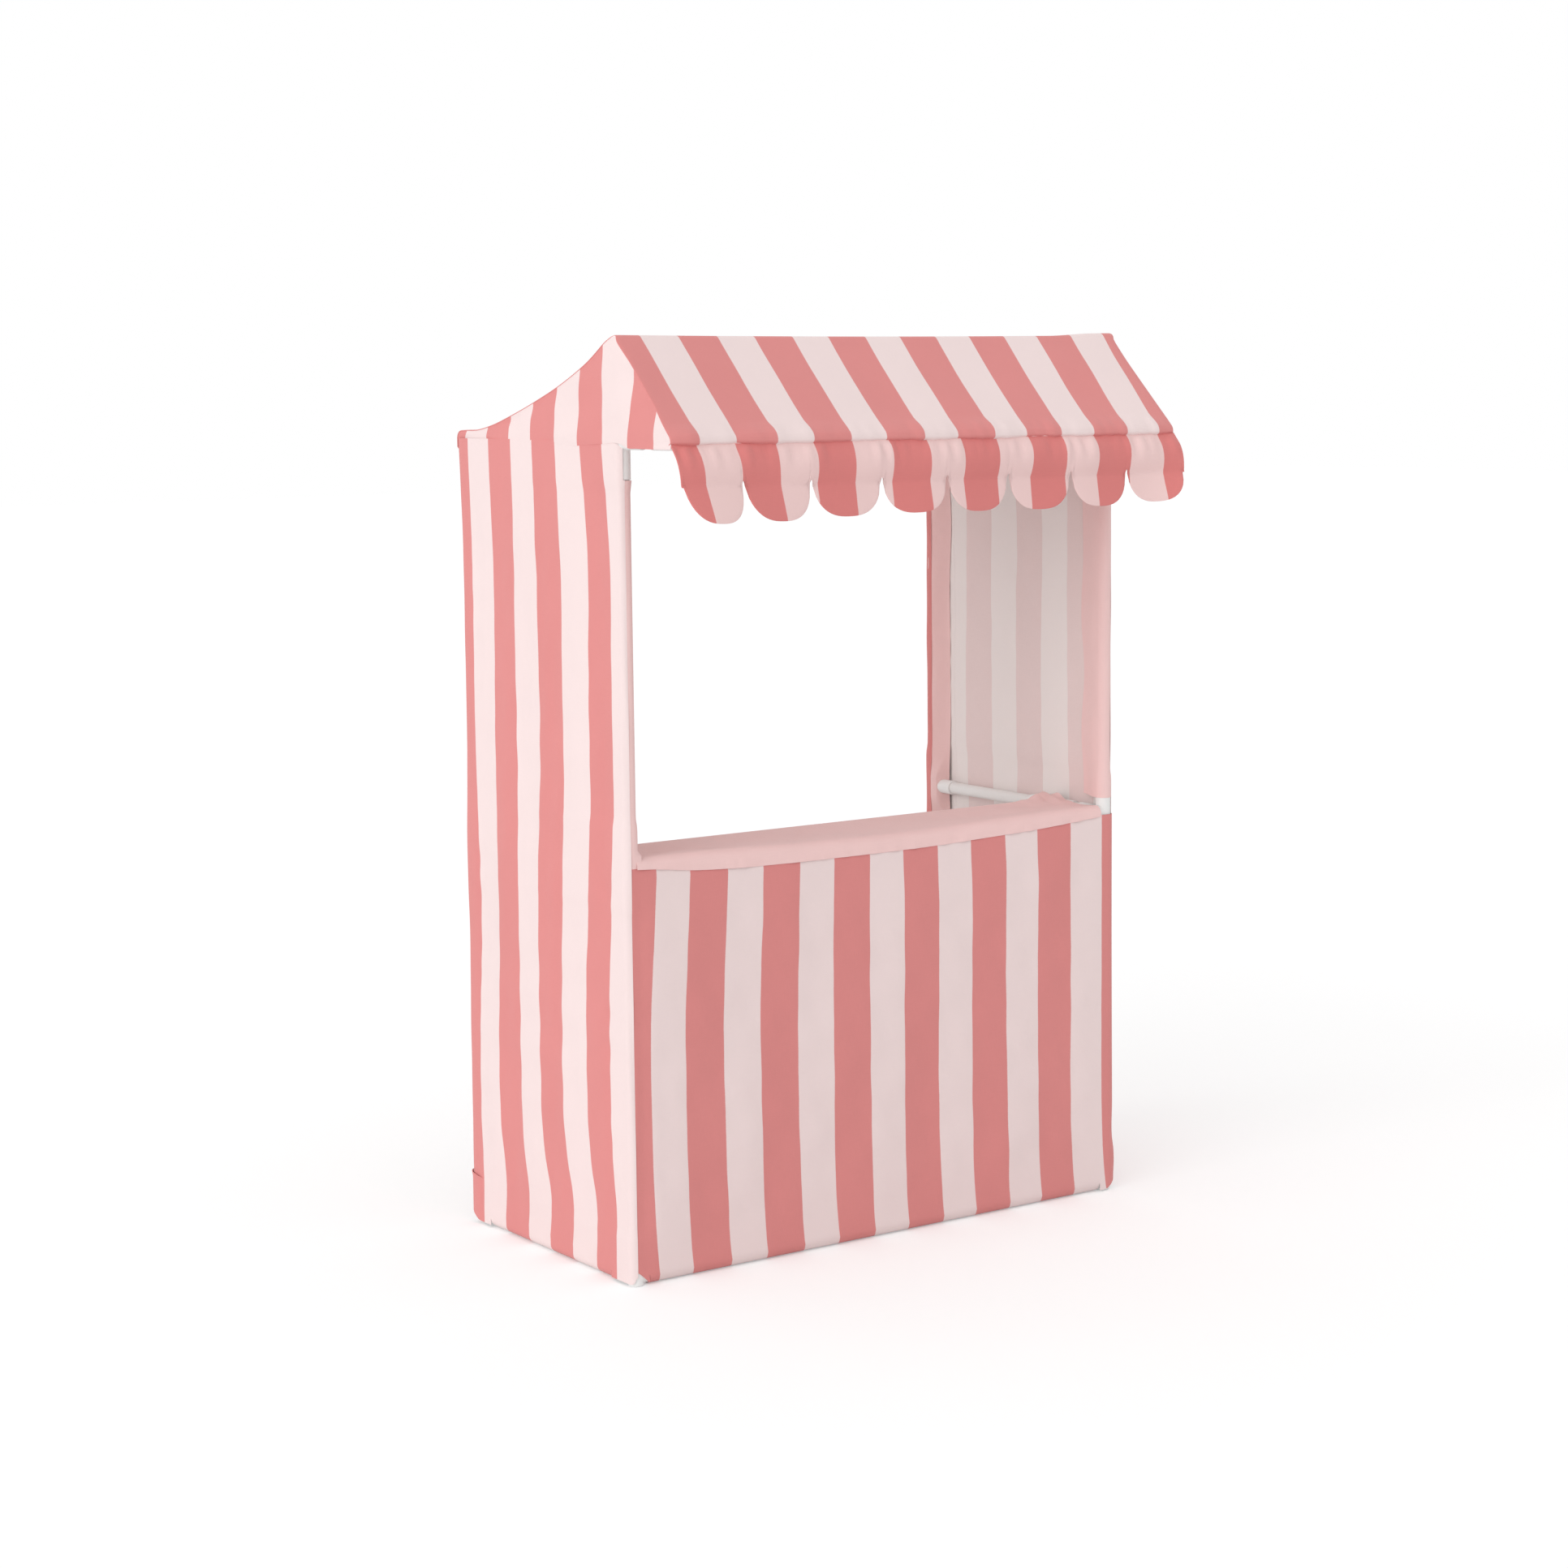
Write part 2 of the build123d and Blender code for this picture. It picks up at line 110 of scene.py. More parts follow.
def colour(name, description, default):
    return bpy.props.FloatVectorProperty(
        name=name, description=description, default=default, size=3, min=0.0, max=1.0, subtype="COLOR")


class StallColours(bpy.types.PropertyGroup):
    """Colours of the cover and the frame"""
    dark_stripe: colour("Dark stripe", "Old-rose stripe of the printed side", (0.780, 0.280, 0.270))
    light_stripe: colour("Light stripe", "Pale pink stripe of the printed side", (0.928, 0.770, 0.757))
    # The reverse tints are the paler print-through on the back of the cloth, brightened further with painted
    # light that stands in for the light shining through the thin cloth into the stall.
    dark_reverse_with_painted_light: colour("Dark reverse", "Old-rose stripe, back of the cloth", (0.890, 0.735, 0.715))
    light_reverse_with_painted_light: colour("Light reverse", "Pale stripe, back of the cloth", (0.945, 0.880, 0.855))
    plain_pink: colour("Plain pink", "Counter cloth and facings", (0.955, 0.662, 0.642))
    thread: colour("Thread", "Sewing thread", (0.930, 0.860, 0.850))
    tube: colour("Tube", "White plastic tube", (0.860, 0.848, 0.828))
    fitting: colour("Fitting", "White moulded fittings", (0.900, 0.895, 0.882))
    floor: colour("Floor", "Studio floor", (0.820, 0.820, 0.820))


# Shader building

class Value:
    """A shader socket that takes part in sums written as Python expressions."""

    def __init__(self, finish, socket):
        self.finish = finish
        self.socket = socket

    def math(self, operation, *operands):
        return self.finish.node("ShaderNodeMath", {"operation": operation}, dict(enumerate(operands)))

    def __add__(self, other):
        return self.math("ADD", self, other)

    __radd__ = __add__

    def __sub__(self, other):
        return self.math("SUBTRACT", self, other)

    def __rsub__(self, other):
        return self.math("SUBTRACT", other, self)

    def __mul__(self, other):
        return self.math("MULTIPLY", self, other)

    __rmul__ = __mul__

    def __truediv__(self, other):
        return self.math("DIVIDE", self, other)

    def __rtruediv__(self, other):
        return self.math("DIVIDE", other, self)

    def __mod__(self, other):
        return self.math("FLOORED_MODULO", self, other)

    def __abs__(self):
        return self.math("ABSOLUTE", self)

    def sine(self):
        return self.math("SINE", self)


class Finish:
    """A node tree under construction, for a material or the world."""

    def __init__(self, owner):
        owner.use_nodes = True
        self.tree = owner.node_tree
        self.tree.nodes.clear()

    def node(self, kind, settings=None, sockets=None, out=0):
        """Add a node, set it up, then fill its sockets with numbers or links."""
        made = self.tree.nodes.new(kind)
        for key, value in (settings or {}).items():
            setattr(made, key, value)
        for key, value in (sockets or {}).items():
            socket = made.inputs[key]
            if isinstance(value, Value):
                self.tree.links.new(value.socket, socket)
            elif hasattr(value, "__len__") and len(value) == 3 and socket.type == "RGBA":
                socket.default_value = (*value, 1.0)
            else:
                socket.default_value = value
        return Value(self, made.outputs[out]) if made.outputs else None

    def blend(self, share, first, second):
        """Colour that goes from first to second as share goes from 0 to 1."""
        return self.node(
            "ShaderNodeMix", {"data_type": "RGBA"}, {"Factor": share, 6: first, 7: second}, out=2)

    def step(self, value, low, high):
        """Smooth 0 to 1 as value goes from low to high."""
        return self.node(
            "ShaderNodeMapRange", {"interpolation_type": "SMOOTHSTEP"},
            {"Value": value, "From Min": low, "From Max": high})

    def speckle(self, where, scale, detail=2.0):
        """Soft noise from 0 to 1, with scale in cells per metre."""
        return self.node(
            "ShaderNodeTexNoise", {}, {"Vector": where, "Scale": scale, "Detail": detail})

    def stretched(self, where, scale):
        return self.node("ShaderNodeVectorMath", {"operation": "MULTIPLY"}, {0: where, 1: scale})

    def surface(self, base, roughness, normal, constants):
        shader = self.node(
            "ShaderNodeBsdfPrincipled", {},
            {"Base Color": base, "Roughness": roughness, "Normal": normal, **constants})
        self.node("ShaderNodeOutputMaterial", {}, {"Surface": shader})


def shade(tint, factor):
    return tuple(min(1.0, part * factor) for part in tint)


def valance_painted_shade(tint):
    """Stripe tint of the lined valance with painted shade: darker and pinker than the single cloth, for the
    shade that the valance hangs in.
    """
    return tuple(part * factor for part, factor in zip(tint, (0.985, 0.85, 0.84)))


def material(name, dress):
    """The named material, made the first time that it is asked for."""
    found = bpy.data.materials.get(name)
    if found is None:
        found = bpy.data.materials.new(name)
        dress(Finish(found))
    return found


CLOTH_CONSTANTS = {
    "Specular IOR Level": 0.18,
    "Sheen Weight": 0.22,
    "Sheen Roughness": 0.45,
    "Sheen Tint": (1.0, 0.93, 0.92),
}


def weave(finish, pattern, pitch, slub):
    """Height of a plain weave with slightly uneven yarns and a soft hand."""
    split = finish.node("ShaderNodeSeparateXYZ", {}, {0: pattern})
    across = Value(finish, split.socket.node.outputs["X"])
    along = Value(finish, split.socket.node.outputs["Y"])
    warp = (across * (2 * pi / pitch)).sine()
    weft = (along * (2 * pi / pitch)).sine()
    soft = finish.speckle(pattern, 55.0, 3.0)
    height = warp * weft * 0.18 + slub * 0.25 + soft * 1.1
    return finish.node("ShaderNodeBump", {}, {"Strength": 0.35, "Distance": 0.0011, "Height": height})


def cloth_pattern(finish):
    """Flat coordinates of the cloth in metres: across the stripes and along them."""
    return finish.node("ShaderNodeUVMap", {"uv_map": "cloth"})


def yarn_noise(finish, pattern):
    """Uneven yarns: fine streaks along both directions of the weave."""
    warp = finish.speckle(finish.stretched(pattern, (900.0, 60.0, 1.0)), 1.0, 1.0)
    weft = finish.speckle(finish.stretched(pattern, (60.0, 900.0, 1.0)), 1.0, 1.0)
    return warp * 0.5 + weft * 0.5


def striped(dark, light, sizes):
    pitch = sizes.stripe_pitch
    share = sizes.dark_share

    def dress(finish):
        pattern = cloth_pattern(finish)
        split = finish.node("ShaderNodeSeparateXYZ", {}, {0: pattern})
        slub = yarn_noise(finish, pattern)
        across = split + (slub - 0.5) * 0.0012
        offset = abs((across / pitch + (0.5 - share / 2)) % 1.0 - 0.5)
        edge = 0.0006 / pitch
        dyed = finish.step(offset, share / 2 + edge, share / 2 - edge)
        tone = finish.speckle(pattern, 7.0, 2.0)
        worn = finish.blend(dyed, shade(light, 0.95), shade(dark, 0.90))
        fresh = finish.blend(dyed, shade(light, 1.02), shade(dark, 1.06))
        base = finish.blend(slub * 0.55 + tone * 0.45, worn, fresh)
        finish.surface(
            base, 0.80 + slub * 0.15, weave(finish, pattern, sizes.thread_pitch, slub), CLOTH_CONSTANTS)
    return dress


def plain(tint, sizes):
    def dress(finish):
        pattern = cloth_pattern(finish)
        slub = yarn_noise(finish, pattern)
        tone = finish.speckle(pattern, 9.0, 2.0)
        base = finish.blend(slub * 0.55 + tone * 0.45, shade(tint, 0.93), shade(tint, 1.05))
        finish.surface(
            base, 0.80 + slub * 0.15, weave(finish, pattern, sizes.thread_pitch, slub), CLOTH_CONSTANTS)
    return dress


def spun(tint):
    """Twisted sewing thread."""
    def dress(finish):
        where = Value(finish, finish.node("ShaderNodeTexCoord").socket.node.outputs["Object"])
        twist = finish.speckle(where, 1400.0, 1.0)
        base = finish.blend(twist, shade(tint, 0.86), shade(tint, 1.08))
        normal = finish.node("ShaderNodeBump", {}, {"Strength": 0.4, "Distance": 0.0003, "Height": twist})
        finish.surface(base, 0.55 + twist * 0.25, normal, {"Specular IOR Level": 0.3, "Sheen Weight": 0.2})
    return dress


def moulded(tint, gloss, texture):
    """White plastic with a faint mould texture, flow marks and handling scuffs."""
    def dress(finish):
        where = Value(finish, finish.node("ShaderNodeTexCoord").socket.node.outputs["Object"])
        flow = finish.speckle(where, 18.0, 3.0)
        grain = finish.speckle(where, texture, 2.0)
        marks = finish.speckle(finish.stretched(where, (140.0, 140.0, 36.0)), 1.0, 4.0)
        scuff = finish.step(marks, 0.60, 0.74)
        base = finish.blend(flow * 0.7 + scuff * 0.3, shade(tint, 0.955), shade(tint, 1.02))
        normal = finish.node(
            "ShaderNodeBump", {}, {"Strength": 0.12, "Distance": 0.0004, "Height": grain * 0.6 + flow})
        finish.surface(base, gloss + scuff * 0.18 + grain * 0.06, normal, {"Specular IOR Level": 0.45})
    return dress


def cloth_finishes(scene, plain_side=False):
    """Printed side and reverse of the striped cloth, or both sides of the plain one; the reverse is the
    paler print-through, brightened with painted light for the light that shines through the cloth.
    """
    sizes, tints = scene.stall_sizes, scene.stall_colours
    if plain_side:
        face = material("plain_pink_cloth", plain(tints.plain_pink, sizes))
        return (face, face)
    return (
        material("printed_stripe", striped(tints.dark_stripe, tints.light_stripe, sizes)),
        material("printed_stripe_reverse_with_painted_light", striped(tints.dark_reverse_with_painted_light, tints.light_reverse_with_painted_light, sizes)),
    )


# Sewing

def gentle(value):
    """Smooth 0 to 1 of a value that runs from 0 to 1."""
    value = np.clip(value, 0.0, 1.0)
    return value * value * (3.0 - 2.0 * value)


def through(value, knots, heights):
    """Smooth curve through measured heights at the knots."""
    knots = np.asarray(knots, dtype=float)
    heights = np.asarray(heights, dtype=float)
    slopes = np.gradient(heights, knots)
    value = np.clip(np.asarray(value, dtype=float), knots[0], knots[-1])
    cell = np.clip(np.searchsorted(knots, value) - 1, 0, len(knots) - 2)
    run = knots[cell + 1] - knots[cell]
    t = (value - knots[cell]) / run
    return (
        heights[cell] * (2 * t**3 - 3 * t**2 + 1) + slopes[cell] * run * (t**3 - 2 * t**2 + t)
        + heights[cell + 1] * (3 * t**2 - 2 * t**3) + slopes[cell + 1] * run * (t**3 - t**2)
    )


def ripple(first, second, seed, length, count=7):
    """Seeded unevenness of hanging cloth, about -1 to 1, with waves of about that length."""
    chance = np.random.default_rng(seed)
    total = 0.0
    for _ in range(count):
        turn = chance.uniform(0, 2 * pi)
        wave = length * chance.uniform(0.6, 1.7)
        start = chance.uniform(0, 2 * pi)
        total = total + np.sin(2 * pi * (first * cos(turn) + second * sin(turn)) / wave + start)
    return total / count**0.5


def stops(*marks, step):
    """Rising values that hit every mark, with steps of about the given length between them."""
    values = [np.array([marks[0]])]
    for low, high in zip(marks, marks[1:]):
        count = max(1, round(abs(high - low) / step))
        values.append(np.linspace(low, high, count + 1)[1:])
    return np.concatenate(values)


def run_along(points):
    """Distance along a row of points from the first one."""
    return np.concatenate([[0.0], np.cumsum(np.linalg.norm(np.diff(points, axis=0), axis=1))])


def grid_cells(rows, columns):
    """Corner numbers of every cell in a grid of points."""
    index = np.arange(rows * columns).reshape(rows, columns)
    return np.stack([index[:-1, :-1], index[:-1, 1:], index[1:, 1:], index[1:, :-1]], axis=-1)


def facing_out(points, flip):
    """Unit normals of a grid of points."""
    across = np.gradient(points, axis=1)
    down = np.gradient(points, axis=0)
    normal = np.cross(across, down)
    normal /= np.maximum(np.linalg.norm(normal, axis=2, keepdims=True), 1e-12)
    return -normal if flip else normal


def cut_size(points, keep):
    """Width, height and area of the cloth that was cut for a grid of points, laid flat."""
    across = np.linalg.norm(np.diff(points, axis=1), axis=2)
    down = np.linalg.norm(np.diff(points, axis=0), axis=2)
    corners = (points[:-1, :-1], points[1:, 1:])
    first, second = points[:-1, 1:], points[1:, :-1]
    halves = sum(np.linalg.norm(np.cross(first - at, second - at), axis=2) for at in corners) / 2
    width = float(np.median(across.sum(axis=1)))
    height = float(np.median(down.sum(axis=0)))
    return width, height, float(halves[keep].sum())


def new_piece(name, points, faces, finishes):
    """Smooth object made of points and faces."""
    mesh = bpy.data.meshes.new(name)
    mesh.from_pydata(points, [], faces)
    for finish in finishes:
        mesh.materials.append(finish)
    mesh.polygons.foreach_set("use_smooth", [True] * len(mesh.polygons))
    piece = bpy.data.objects.new(name, mesh)
    bpy.context.scene.collection.objects.link(piece)
    return piece


def sew(name, points, pattern, thickness, finishes, keep=None, flip=False):
    """Closed thin piece of cloth on a grid of points, with its printed side outwards."""
    rows, columns = points.shape[:2]
    count = rows * columns
    if keep is None:
        keep = np.ones((rows - 1, columns - 1), dtype=bool)
    offset = facing_out(points, flip) * (np.broadcast_to(thickness, (rows, columns)) / 2)[..., None]
    corners = np.concatenate([(points + offset).reshape(-1, 3), (points - offset).reshape(-1, 3)])
    cells = grid_cells(rows, columns)[keep]
    outer = cells[:, ::-1] if flip else cells
    inner = outer[:, ::-1] + count
    starts = outer.reshape(-1)
    ends = np.roll(outer, -1, axis=1).reshape(-1)
    open_edge = ~np.isin(starts * count + ends, ends * count + starts)
    first, last = starts[open_edge], ends[open_edge]
    rims = np.stack([last, first, first + count, last + count], axis=-1)
    faces = np.concatenate([outer, inner, rims])
    used, renumbered = np.unique(faces, return_inverse=True)
    faces = renumbered.reshape(-1, 4)
    piece = new_piece(name, corners[used].tolist(), faces.tolist(), finishes)
    mesh = piece.data
    side = np.zeros(len(faces), dtype=np.int32)
    side[len(outer):2 * len(outer)] = 1
    mesh.polygons.foreach_set("material_index", side)
    layer = mesh.uv_layers.new(name="cloth")
    flat = pattern.reshape(-1, 2)[used % count]
    layer.data.foreach_set("uv", flat[faces.reshape(-1)].ravel().astype(np.float32))
    mesh.set_sharp_from_angle(angle=radians(50))
    mesh.update()
    return piece


def hang(piece, points, keep, nodes=(), flat=None):
    """Fix a piece of cloth to the stall and hide the solids that it replaces; the size of the flat cloth
    that it was cut from is worked out but not kept.
    """
    if keep is None:
        keep = np.ones((points.shape[0] - 1, points.shape[1] - 1), dtype=bool)
    width, height, area = cut_size(points, keep)
    width, height = flat or (width, height)
    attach(piece, "root")
    if nodes:
        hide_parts(*nodes)
    min(area, width * height)


STITCH_LIFT = 0.45 * MM
STITCH_HALF_WIDTH = 0.55 * MM
STITCH_CREST = 0.22 * MM
STITCH_FOOT = 0.25 * MM
# Rings of one stitch: where they lie along it, and how high
STITCH_MARKS = np.array([0.10, 0.28, 0.68, 0.86])
STITCH_RISE = np.array([-0.35, 0.22, 0.22, -0.35])[None, :, None] * MM


def stitch_line(name, place, turn, rows, pitch, finish):
    """Rows of raised stitches on a cloth, each given by its two coordinates; turn, 1 or -1, is outwards."""
    corners, faces = [], []
    for first, second in rows:
        first, second = np.broadcast_arrays(np.asarray(first, float), np.asarray(second, float))
        line = place(first, second)
        small = 0.6 * MM
        across = place(first + small, second) - place(first - small, second)
        along = place(first, second + small) - place(first, second - small)
        normal = np.cross(across, along)
        normal *= turn / np.maximum(np.linalg.norm(normal, axis=1, keepdims=True), 1e-12)
        run = run_along(line)
        count = max(1, int(run[-1] / pitch))
        marks = (np.arange(count)[:, None] + STITCH_MARKS) * run[-1] / count
        spots = np.stack([np.interp(marks, run, line[:, k]) for k in range(3)], axis=-1)
        stand = np.stack([np.interp(marks, run, normal[:, k]) for k in range(3)], axis=-1)
        heading = spots[:, -1:] - spots[:, :1]
        heading /= np.maximum(np.linalg.norm(heading, axis=2, keepdims=True), 1e-12)
        beside = np.cross(stand, heading)
        height = STITCH_LIFT + STITCH_RISE
        crest = spots + stand * (height + STITCH_CREST)
        foot = spots + stand * (height - STITCH_FOOT)
        aside = beside * STITCH_HALF_WIDTH
        rings = np.stack([foot + aside, crest, foot - aside], axis=2)
        start = sum(len(block) for block in corners)
        corners.append(rings.reshape(-1, 3))
        for index in range(count):
            base = start + index * 12
            for piece in range(3):
                low = base + piece * 3
                for edge in range(3):
                    nxt = (edge + 1) % 3
                    faces.append((low + edge, low + nxt, low + nxt + 3, low + edge + 3))
            faces.append((base + 2, base + 1, base))
            faces.append((base + 9, base + 10, base + 11))
    piece = new_piece(name, np.concatenate(corners).tolist(), faces, (finish,))
    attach(piece, "root")
    return piece


def thread_finish(scene):
    return material("sewing_thread", spun(scene.stall_colours.thread))


def stall_points(x, depth, z):
    """Points in the stall's own frame, from the depth behind the front posts."""
    x, depth, z = np.broadcast_arrays(x, depth, z)
    return np.stack([x, depth + FRONT_Y, z], axis=-1)


# Side walls: cloth round the two posts of a side, folded under the base rail

SLEEVE_END = radians(213) * ROUND
SLEEVE_TOP = TOP_Z - SOCKET
# Angles round the front posts at which the left wall, the right wall and the tops of both end
FRONT_FLAP = 1.26
RIGHT_FLAP = 0.66
TOP_FLAP = 1.07
COUNTER_GAP_LOW = COUNTER_Z - 18 * MM
COUNTER_GAP_HIGH = COUNTER_Z + 25 * MM
COUNTER_GAP_MIDDLE = (COUNTER_GAP_LOW + COUNTER_GAP_HIGH) / 2
HEM_FRONT = 46 * MM
HEM_REAR = DEPTH - 46 * MM
HEM_SLIT = 0.5 * MM
FOOT_CUT = 30 * MM
WALL_END = 4 * MM
# The right wall starts behind the wrap of the front cloth
WRAP_EDGE = 20 * MM
# For the left and the right wall: where a dark stripe starts, and how much of the drift the stripes follow
STRIPE_START = {-1: 0.020, 1: 0.0385}
STRIPE_DRIFT = {-1: 1.0, 1: 0.35}
RIGHT_PITCH = 0.1335
# How far the stripes of the left wall drift back at its front edge, by height
SWAY_HEIGHTS = (0.03, 0.11, 0.21, 0.33, 0.455, 0.58, 0.70, 0.83, 0.95, 1.065, 1.16, 1.24)
SWAY_SHIFTS = (0.015, 0.016, 0.023, 0.0255, 0.023, 0.011, 0.001, 0.0, 0.0, -0.002, 0.007, 0.017)
# How far the rear sleeve of the left wall stands off its post, in millimetres, by height
SLACK_HEIGHTS = (0.0, 0.30, 0.45, 0.60, 0.75, 0.90, 1.12, 1.23)
SLACK = (7.2, 6.0, 4.5, 5.2, 2.3, 1.3, 1.0, 3.5)


def snug(z):
    """1 where a sleeve lies on plain tube, 0 where it passes over the sockets of a fitting."""
    nearest = np.minimum(np.minimum(abs(z - BASE_Z), abs(z - COUNTER_Z)), abs(z - TOP_Z))
    return gentle((nearest - SOCKET) / 0.02)


def flap_under(z):
    """Radius of the front cloth where it lies on the left post, under the edge of the side wall."""
    return ROUND - 0.3 * MM - 1.85 * MM * snug(z)


def sleeve_rounds(side, z):
    """Radius of a wall's cloth on its front post and on its rear post."""
    tight = ROUND + (0.5 - 2.0 * snug(z)) * MM
    if side > 0:
        return tight, tight
    over = gentle((COUNTER_Z + 0.01 - z) / 0.03)
    front = tight + (flap_under(z) + 1.15 * MM - tight) * over
    return front, ROUND + through(z, SLACK_HEIGHTS, SLACK) * MM


def wall_relief(side, depth, z, sizes):
    """Outward relief of a side wall between its posts."""
    seed = 31 if side < 0 else 57
    between = np.sin(pi * np.clip(depth / DEPTH, 0, 1))
    upright = gentle((WALL_TOP - z) / 0.16) * gentle((z - BASE_Z) / 0.12)
    bow = sizes.wall_bulge * between * (0.62 + 0.38 * ripple(depth * 0.4, z, seed, 0.75))
    folds = 0.0016 * between**0.5 * ripple(depth, z * 0.33, seed + 1, 0.12)
    fine = 0.0006 * between**0.5 * ripple(depth, z * 0.7, seed + 2, 0.045)
    at_front = np.exp(-((depth - 0.040) / 0.014) ** 2)
    at_rear = np.exp(-((DEPTH - depth - 0.040) / 0.014) ** 2)
    pucker = 0.0007 * (at_front + at_rear) * ripple(z, z * 0, seed + 3, 0.030)
    dent = -0.0012 * (at_front + at_rear)
    return np.maximum((bow + folds + fine) * upright + (pucker + dent) * between**0.3 * upright, -0.0016)


def past_rail(z):
    """1 at the height of the side rails, where a rear sleeve passes straight beside the rail's socket."""
    return gentle((0.060 - abs(z - COUNTER_Z)) / 0.044)


def corner_cut(reach, z):
    """How far the lower edge of a wall is lifted where it turns round the feet."""
    at_rear = np.clip((reach - DEPTH + 0.022) / 0.034, 0, 1)
    rear = 0.034 * (1.0 - np.sqrt(1.0 - at_rear**2 * 0.98))
    front = 0.011 * gentle((-reach / ROUND - 0.72) / 0.5)
    return (rear + front) * gentle((0.074 - z) / 0.07)


def wall_at(side, reach, z, sizes, proud=0.0):
    """Place on a side wall: reach runs back along the wall and on round the posts, z down to the hem."""
    reach, z = np.broadcast_arrays(reach, z)
    front_round, rear_round = sleeve_rounds(side, z)
    front = np.clip(-reach, 0, None) / ROUND
    rear = np.clip(reach - DEPTH, 0, None) / ROUND
    straight = np.clip(rear - pi, 0, None) * past_rail(z)
    rear = rear - straight
    flat = np.clip(reach, 0, DEPTH)
    radius = front_round + (rear_round - front_round) * flat / DEPTH + proud
    relief = wall_relief(side, flat, z, sizes)
    loose = 0.0006 * ripple(z * 0.6, (front + rear) * 0.05, 71 + side, 0.09)
    slack = gentle((front + rear) / 1.2) * gentle((z - 0.03) / 0.05)
    out = (radius + loose * slack) * np.cos(front + rear) + relief
    depth = flat + (radius + loose * slack) * (np.sin(rear) - np.sin(front)) - straight * ROUND
    turn = np.clip(BASE_Z - z, 0, pi * ROUND) / ROUND
    rise = np.clip(BASE_Z - z - pi * ROUND, 0, None)
    hemmed = (reach > HEM_FRONT) & (reach < HEM_REAR)
    under = ROUND * np.cos(turn) + (2 * ROUND - 0.0022) * gentle(rise / 0.055)
    under = under + (radius - ROUND) * np.cos(turn / 2)
    out = np.where(hemmed & (z < BASE_Z), under, out)
    low = np.where(hemmed, BASE_Z - ROUND * np.sin(turn) + rise, z)
    height = np.where(z < BASE_Z, low, z) + np.where(hemmed, 0.0, corner_cut(reach, z))
    return stall_points(side * (POST_X + out), depth, height)


def wall_sway(reach, z):
    """How far the stripes drift back along the wall."""
    share = np.clip(reach / DEPTH, 0, 1)
    drawn = through(z, SWAY_HEIGHTS, SWAY_SHIFTS) * (1.0 - 1.05 * share)
    at_hem = -0.020 * np.exp(-(((z - 0.085) / 0.072) ** 2)) * np.sin(pi * share)
    at_rear = -0.018 * np.exp(-(((z - 0.55) / 0.17) ** 2)) * share**4
    at_seam = -0.009 * np.exp(-(((reach - 0.082) / 0.035) ** 2))
    return drawn + at_hem + at_rear + at_seam


def wall_print(side, along, height):
    """Place across the printed stripes on a side wall."""
    return along - STRIPE_START[side] - wall_sway(along, np.maximum(height, FOOT_CUT)) * STRIPE_DRIFT[side]


